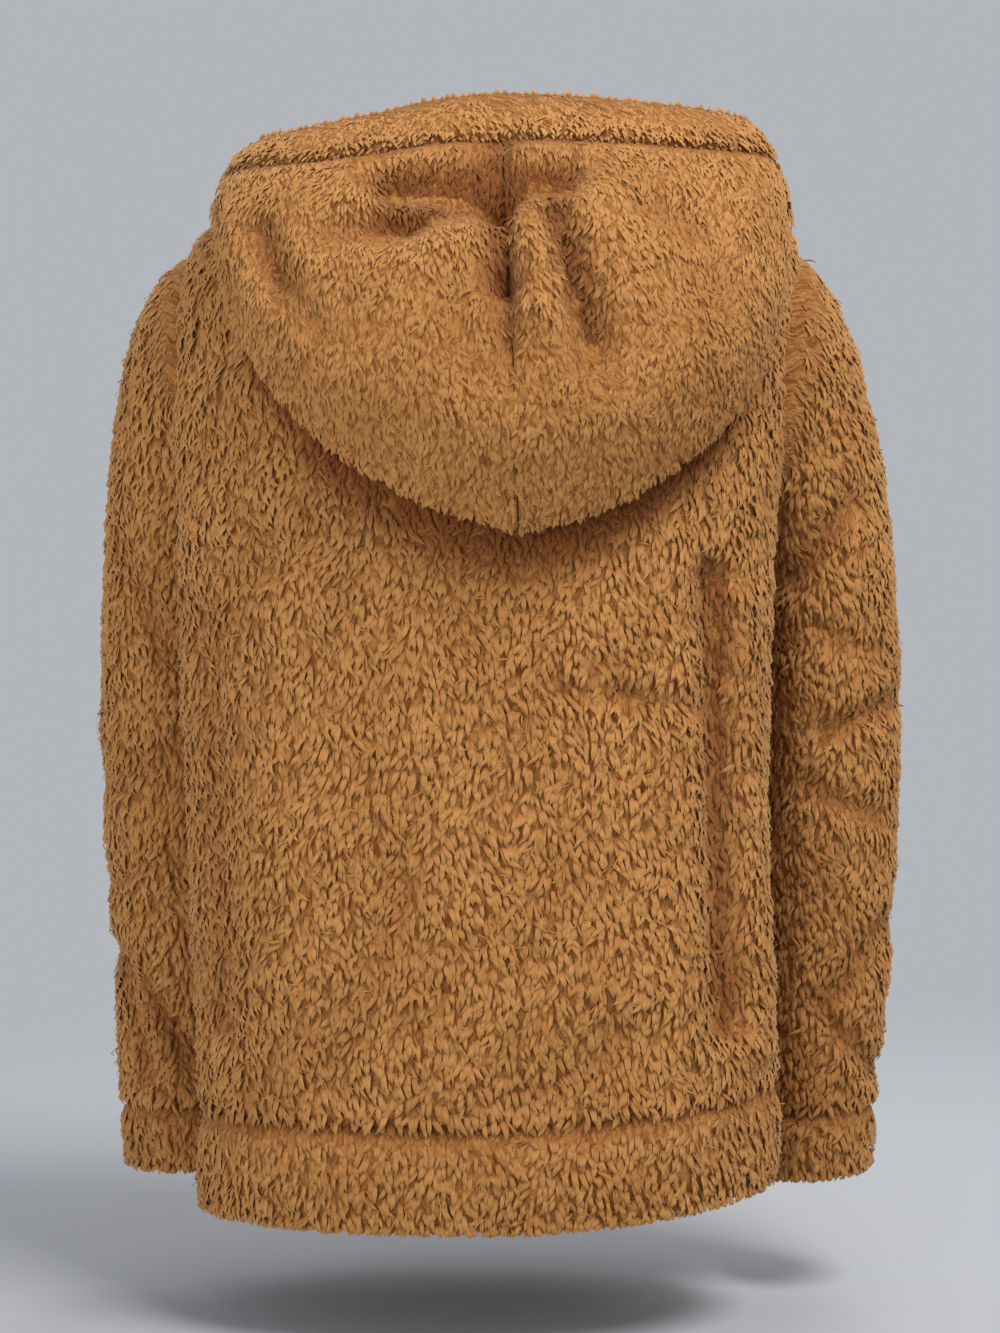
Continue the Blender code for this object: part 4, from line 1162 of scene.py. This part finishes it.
class HOODIE_OT_hem(bpy.types.Operator):
    """Cloth and pile of the hem band"""
    bl_idname = "hoodie.hem"
    bl_label = "Hem band"

    def execute(self, context):
        face, n, wall = hem_sheet()
        cloth("hem_band", face, n, wall, downwards(face), held="hung", ends=("seam", "free"),
              puff=0.003)
        return {"FINISHED"}


class HOODIE_OT_sleeves(bpy.types.Operator):
    """Cloth and pile of the sleeves and cuffs"""
    bl_idname = "hoodie.sleeves"
    bl_label = "Sleeves and cuffs"

    def execute(self, context):
        for side in ("left", "right"):
            face, n, wall = arm_sheet(side, 0, 1 - GAP / 1.2)
            cloth("sleeve_" + side, face, n, wall, downwards(face), held="hung", ring=True,
                  # painted shade in the troughs of the sleeve's folds
                  hollow=hollows(face, side) * ease(n[..., 1], -0.6, 0.1))
            face, n, wall = arm_sheet(side, 1 + GAP / 1.2, CUFF_END)
            cloth("cuff_" + side, face, n, wall, downwards(face), held="hung", ring=True,
                  ends=("seam", "free"), puff=0.002)
        return {"FINISHED"}


class HOODIE_OT_hood(bpy.types.Operator):
    """Cloth and pile of the lowered hood and its face hem"""
    bl_idname = "hoodie.hood"
    bl_label = "Hood"

    def execute(self, context):
        right, left, edge, rows, across = whole_hood()
        folded = ease(1 - np.abs(across), 0.30, 0.42)
        keep = 1 - folded[None, :] * (1 - ease(rows, 7.0, 8.0))[:, None]
        half = len(across) // 2
        for name, sheet, mask, sides in (
                ("hood_right", right, keep[:, :half], ("seam", "butt")),
                ("hood_left", left, keep[:, half:], ("butt", "seam"))):
            face, n, wall = sheet
            cloth(name, face, n, wall, downwards(face, -1), rests_on=["back_panel_shell"],
                  keep=mask, flat=HOOD_BLOCK, sides=sides, **HOOD_PILE,
                  # painted shade in the troughs of the hood's folds
                  hollow=hollows(face, "hood") * ease(rows, *OUTER_ROWS)[:, None])
        face, n, wall = edge
        cloth("hood_edge", face, n, wall, downwards(face, -1), ends=("seam", "free"),
              sides=("free", "free"), puff=0.003, **HOOD_PILE)
        return {"FINISHED"}


class HOODIE_OT_zip(bpy.types.Operator):
    """Zip: teeth, and finishes of the tapes, slider, tab and box"""
    bl_idname = "hoodie.zip"
    bl_label = "Zip"

    def execute(self, context):
        look = context.scene.hoodie_zip
        for side, sign in (("left", 1.0), ("right", -1.0)):
            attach(teeth("zip_teeth_" + side, sign, look), BODY)
        finishes = {"zip tape": ("zip_tape_left", "zip_tape_right"),
                    "zip metal": ("zip_slider", "zip_pull", "zip_box")}
        for name, nodes in finishes.items():
            for node in nodes:
                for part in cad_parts[node].material_slots:
                    part.material = paint(name)
        for node in finishes["zip metal"]:
            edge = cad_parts[node].modifiers.new("rounded", "BEVEL")
            edge.width, edge.segments, edge.limit_method = 0.00035, 2, "ANGLE"
        return {"FINISHED"}


# Sections of a tooth: x from the zip's middle line, and how wide it is there (1 is full).
TOOTH = {"x": (-0.0007, -0.0002, 0.0014, 0.0026), "wide": (0.55, 1.0, 0.8, 1.0)}
TOOTH_SIDES = 8
TOOTH_THICK = 0.0011      # half its thickness, in front and behind
PARTED = 0.0009           # how far the rows part above the slider


def teeth(name, sign, look):
    """One row of zip teeth on the inner edge of its tape, parted above the slider."""
    rings = evenly(lambda r: torso(np.full(len(r), -math.pi / 2), r),
                   np.linspace(HEM_END + 0.016, -0.004, 900), look.tooth_pitch)
    if sign < 0:
        rings = (rings[1:] + rings[:-1]) / 2
    middle = np.full(len(rings), -math.pi / 2)
    out = unit(torso_normal(middle, rings) * (0, 1, 1))
    place = torso(middle, rings) * (0, 1, 1) - out * (WALL + BEHIND + 0.0005)
    down = np.stack((np.zeros(len(rings)), out[:, 2], -out[:, 1]), -1)
    parted = np.where(rings > SLIDER_RING + 0.004, PARTED, 0.0)
    points = []
    for x, wide in zip(TOOTH["x"], TOOTH["wide"]):
        shift = np.stack((sign * (x + parted), parted * 0, parted * 0), -1)
        for turn in (np.arange(TOOTH_SIDES) + 0.5) * 2 * math.pi / TOOTH_SIDES:
            high = math.cos(turn) * look.tooth_pitch * 0.27 * wide
            points.append(place + down * high + out * (math.sin(turn) * TOOTH_THICK * wide) + shift)
    points = np.stack(points, 1)
    loops, sides = [], []
    for k in range(len(TOOTH["x"]) - 1):
        first = k * TOOTH_SIDES
        for i in range(TOOTH_SIDES):
            j = (i + 1) % TOOTH_SIDES
            loops += [first + i, first + j, first + TOOTH_SIDES + j, first + TOOTH_SIDES + i]
            sides.append(4)
    count = points.shape[1]
    loops += list(range(TOOTH_SIDES))[::-1] + list(range(count - TOOTH_SIDES, count))
    sides += [TOOTH_SIDES, TOOTH_SIDES]
    loops = (np.arange(len(rings))[:, None] * count + np.array(loops)).ravel()
    sides = np.tile(sides, len(rings))
    made = mesh_object(name, points.reshape(-1, 3), loops, sides, np.zeros(len(sides)),
                       [paint("zip metal")], {}, {})
    work = bmesh.new()
    work.from_mesh(made.data)
    bmesh.ops.recalc_face_normals(work, faces=work.faces)
    work.to_mesh(made.data)
    work.free()
    made.data.set_sharp_from_angle(angle=math.radians(40))
    return made


# Lamps: place, the point each is turned to, and width of its disc.
LAMPS = {
    "key": ((-1.2, 1.35, 2.2), (0, 0.08, -0.32), 1.5),
    "fill": ((1.4, 2.1, -0.45), (0, 0, -0.35), 2.0),
    "front": ((-0.9, -2.2, 1.2), (0, 0, -0.3), 1.6),
}
FLOOR_RADIUS, FLOOR_SIDES = 2.0, 64


class HOODIE_OT_stage(bpy.types.Operator):
    """Floor, lights and camera"""
    bl_idname = "hoodie.stage"
    bl_label = "Stage"

    def execute(self, context):
        look = context.scene.hoodie_stage
        mesh = bpy.data.meshes.new("floor")
        turns = np.arange(FLOOR_SIDES) * 2 * math.pi / FLOOR_SIDES
        rim = [(FLOOR_RADIUS * math.cos(a), FLOOR_RADIUS * math.sin(a), look.floor) for a in turns]
        mesh.from_pydata(rim, [], [range(FLOOR_SIDES)])
        mesh.materials.append(paint("floor"))
        floor = bpy.data.objects.new("floor", mesh)
        context.scene.collection.objects.link(floor)
        floor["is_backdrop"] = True

        world = bpy.data.worlds.new("surroundings")
        world.use_nodes = True
        world.node_tree.nodes["Background"].inputs[0].default_value = tuple(look.surroundings)
        world.node_tree.nodes["Background"].inputs[1].default_value = look.ambient
        context.scene.world = world
        context.scene.view_settings.view_transform = "Standard"
        for name, (place, aim, width) in LAMPS.items():
            light = bpy.data.lights.new(name, "AREA")
            light.shape, light.size, light.energy = "DISK", width, getattr(look, name)
            lamp = bpy.data.objects.new(name, light)
            lamp.location = place
            aimed = mathutils.Vector(aim) - mathutils.Vector(place)
            lamp.rotation_euler = aimed.to_track_quat("-Z", "Y").to_euler()
            context.scene.collection.objects.link(lamp)

        lens = bpy.data.cameras.new("camera")
        lens.sensor_width, lens.lens = 36.0, look.lens
        camera = bpy.data.objects.new("camera", lens)
        camera.location = (0.0, look.distance, look.height)
        camera.rotation_euler = (math.pi / 2, 0.0, math.pi)
        context.scene.collection.objects.link(camera)
        context.scene.camera = camera
        return {"FINISHED"}


# ---------------------------------------------------------------- settings

def colour(name, description, value):
    """A colour with full cover."""
    return bpy.props.FloatVectorProperty(name=name, description=description, subtype="COLOR",
                                         size=4, min=0.0, max=1.0, default=(*value, 1.0))


def size(name, description, value, unit="LENGTH"):
    """A length, or an area."""
    return bpy.props.FloatProperty(name=name, description=description, default=value, min=0.0,
                                   precision=5, unit=unit)


def amount(name, description, value, **limits):
    """A bare number."""
    return bpy.props.FloatProperty(name=name, description=description, default=value, **limits)


class HoodiePile(bpy.types.PropertyGroup):
    lock_length: size("Lock length", "Length of a lock from root to tip", 0.0118)
    lock_width: size("Lock width", "Width of a lock at its widest", 0.0034)
    lock_area: size("Lock area", "Surface that one lock has to itself", 19.5e-6, "AREA")
    least_pile: size("Least pile", "Height of the pile where the cloth is pressed thin", 0.0026)
    loose_pile: size("Loose pile", "Depth of the loose tips over the dense foot of the pile", 0.0022)
    seam_width: size("Seam width", "How far from a seam the pile is full again", 0.0085)
    fuzz: amount("Fuzz", "Share of locks that have a stray strand", 0.2, min=0.0, max=1.0)
    rim_locks: bpy.props.BoolProperty(name="Rim locks", description="Pile wraps round open edges",
                                      default=True)


class HoodieColours(bpy.types.PropertyGroup):
    tip_light: colour("Tip, light", "Lightest lock tips", (0.560, 0.265, 0.078))
    tip_dark: colour("Tip, dark", "Darkest lock tips", (0.445, 0.195, 0.052))
    tip_warm: colour("Tip, warm", "Redder patches", (0.420, 0.165, 0.040))
    # painted shade: the root colour is the pile's colour darkened for the shade deep among the locks
    root: colour("Root", "Foot of the pile", (0.215, 0.060, 0.012))
    knit: colour("Knit", "Knit backing", (0.400, 0.190, 0.070))
    knit_dark: colour("Knit, dark", "Gaps of the knit backing", (0.200, 0.085, 0.030))
    tape: colour("Tape", "Zip tape", (0.200, 0.090, 0.035))
    tape_dark: colour("Tape, dark", "Gaps of the tape's weave", (0.080, 0.034, 0.014))
    metal: colour("Metal", "Rubbed brass", (0.560, 0.420, 0.230))
    metal_dark: colour("Metal, dark", "Browned brass", (0.160, 0.110, 0.060))


class HoodieZip(bpy.types.PropertyGroup):
    tooth_pitch: size("Tooth pitch", "Distance from one tooth to the next on its tape", 0.0026)


class HoodieStage(bpy.types.PropertyGroup):
    floor: amount("Floor", "Height of the floor", -0.76, unit="LENGTH")
    distance: size("Camera distance", "Camera behind the origin", 1.75)
    height: amount("Camera height", "Camera above the origin", -0.336, unit="LENGTH")
    lens: amount("Lens", "Focal length in millimetres", 69.95, min=1.0)
    key: amount("Key light", "Behind the hoodie and above the camera, in watts", 79.0)
    fill: amount("Fill light", "Beside and below the camera, in watts", 26.0)
    front: amount("Front light", "Beyond the hoodie, in watts", 26.0)
    ambient: amount("Ambient", "Strength of the surroundings", 0.68)
    surroundings: colour("Surroundings", "Colour round the stage", (0.66, 0.69, 0.73))


PARTS = ("torso", "hem", "sleeves", "hood", "zip", "stage")


class HOODIE_PT_panel(bpy.types.Panel):
    """Lists the hoodie's pieces"""
    bl_idname = "HOODIE_PT_panel"
    bl_label = "Sherpa hoodie"
    bl_space_type = "VIEW_3D"
    bl_region_type = "UI"
    bl_category = "Hoodie"

    def draw(self, context):
        for part in PARTS:
            self.layout.operator("hoodie." + part)
        for settings in ("hoodie_pile", "hoodie_colours", "hoodie_zip", "hoodie_stage"):
            group = getattr(context.scene, settings)
            box = self.layout.box()
            for name in group.__annotations__:
                box.prop(group, name)


GROUPS = {"hoodie_pile": HoodiePile, "hoodie_colours": HoodieColours, "hoodie_zip": HoodieZip,
          "hoodie_stage": HoodieStage}
CLASSES = (*GROUPS.values(), HOODIE_OT_torso, HOODIE_OT_hem, HOODIE_OT_sleeves, HOODIE_OT_hood,
           HOODIE_OT_zip, HOODIE_OT_stage, HOODIE_PT_panel)


def register():
    for made in CLASSES:
        bpy.utils.register_class(made)
    for name, group in GROUPS.items():
        setattr(bpy.types.Scene, name, bpy.props.PointerProperty(type=group))


def unregister():
    for name in GROUPS:
        delattr(bpy.types.Scene, name)
    for made in reversed(CLASSES):
        bpy.utils.unregister_class(made)


def main():
    register()
    for part in PARTS:
        getattr(bpy.ops.hoodie, part)()
    boxes = {"cad": CAD_BOX, "visual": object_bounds()}
    boxes = {name: [list(map(float, corner)) for corner in box] for name, box in boxes.items()}


if __name__ == "__main__":
    main()
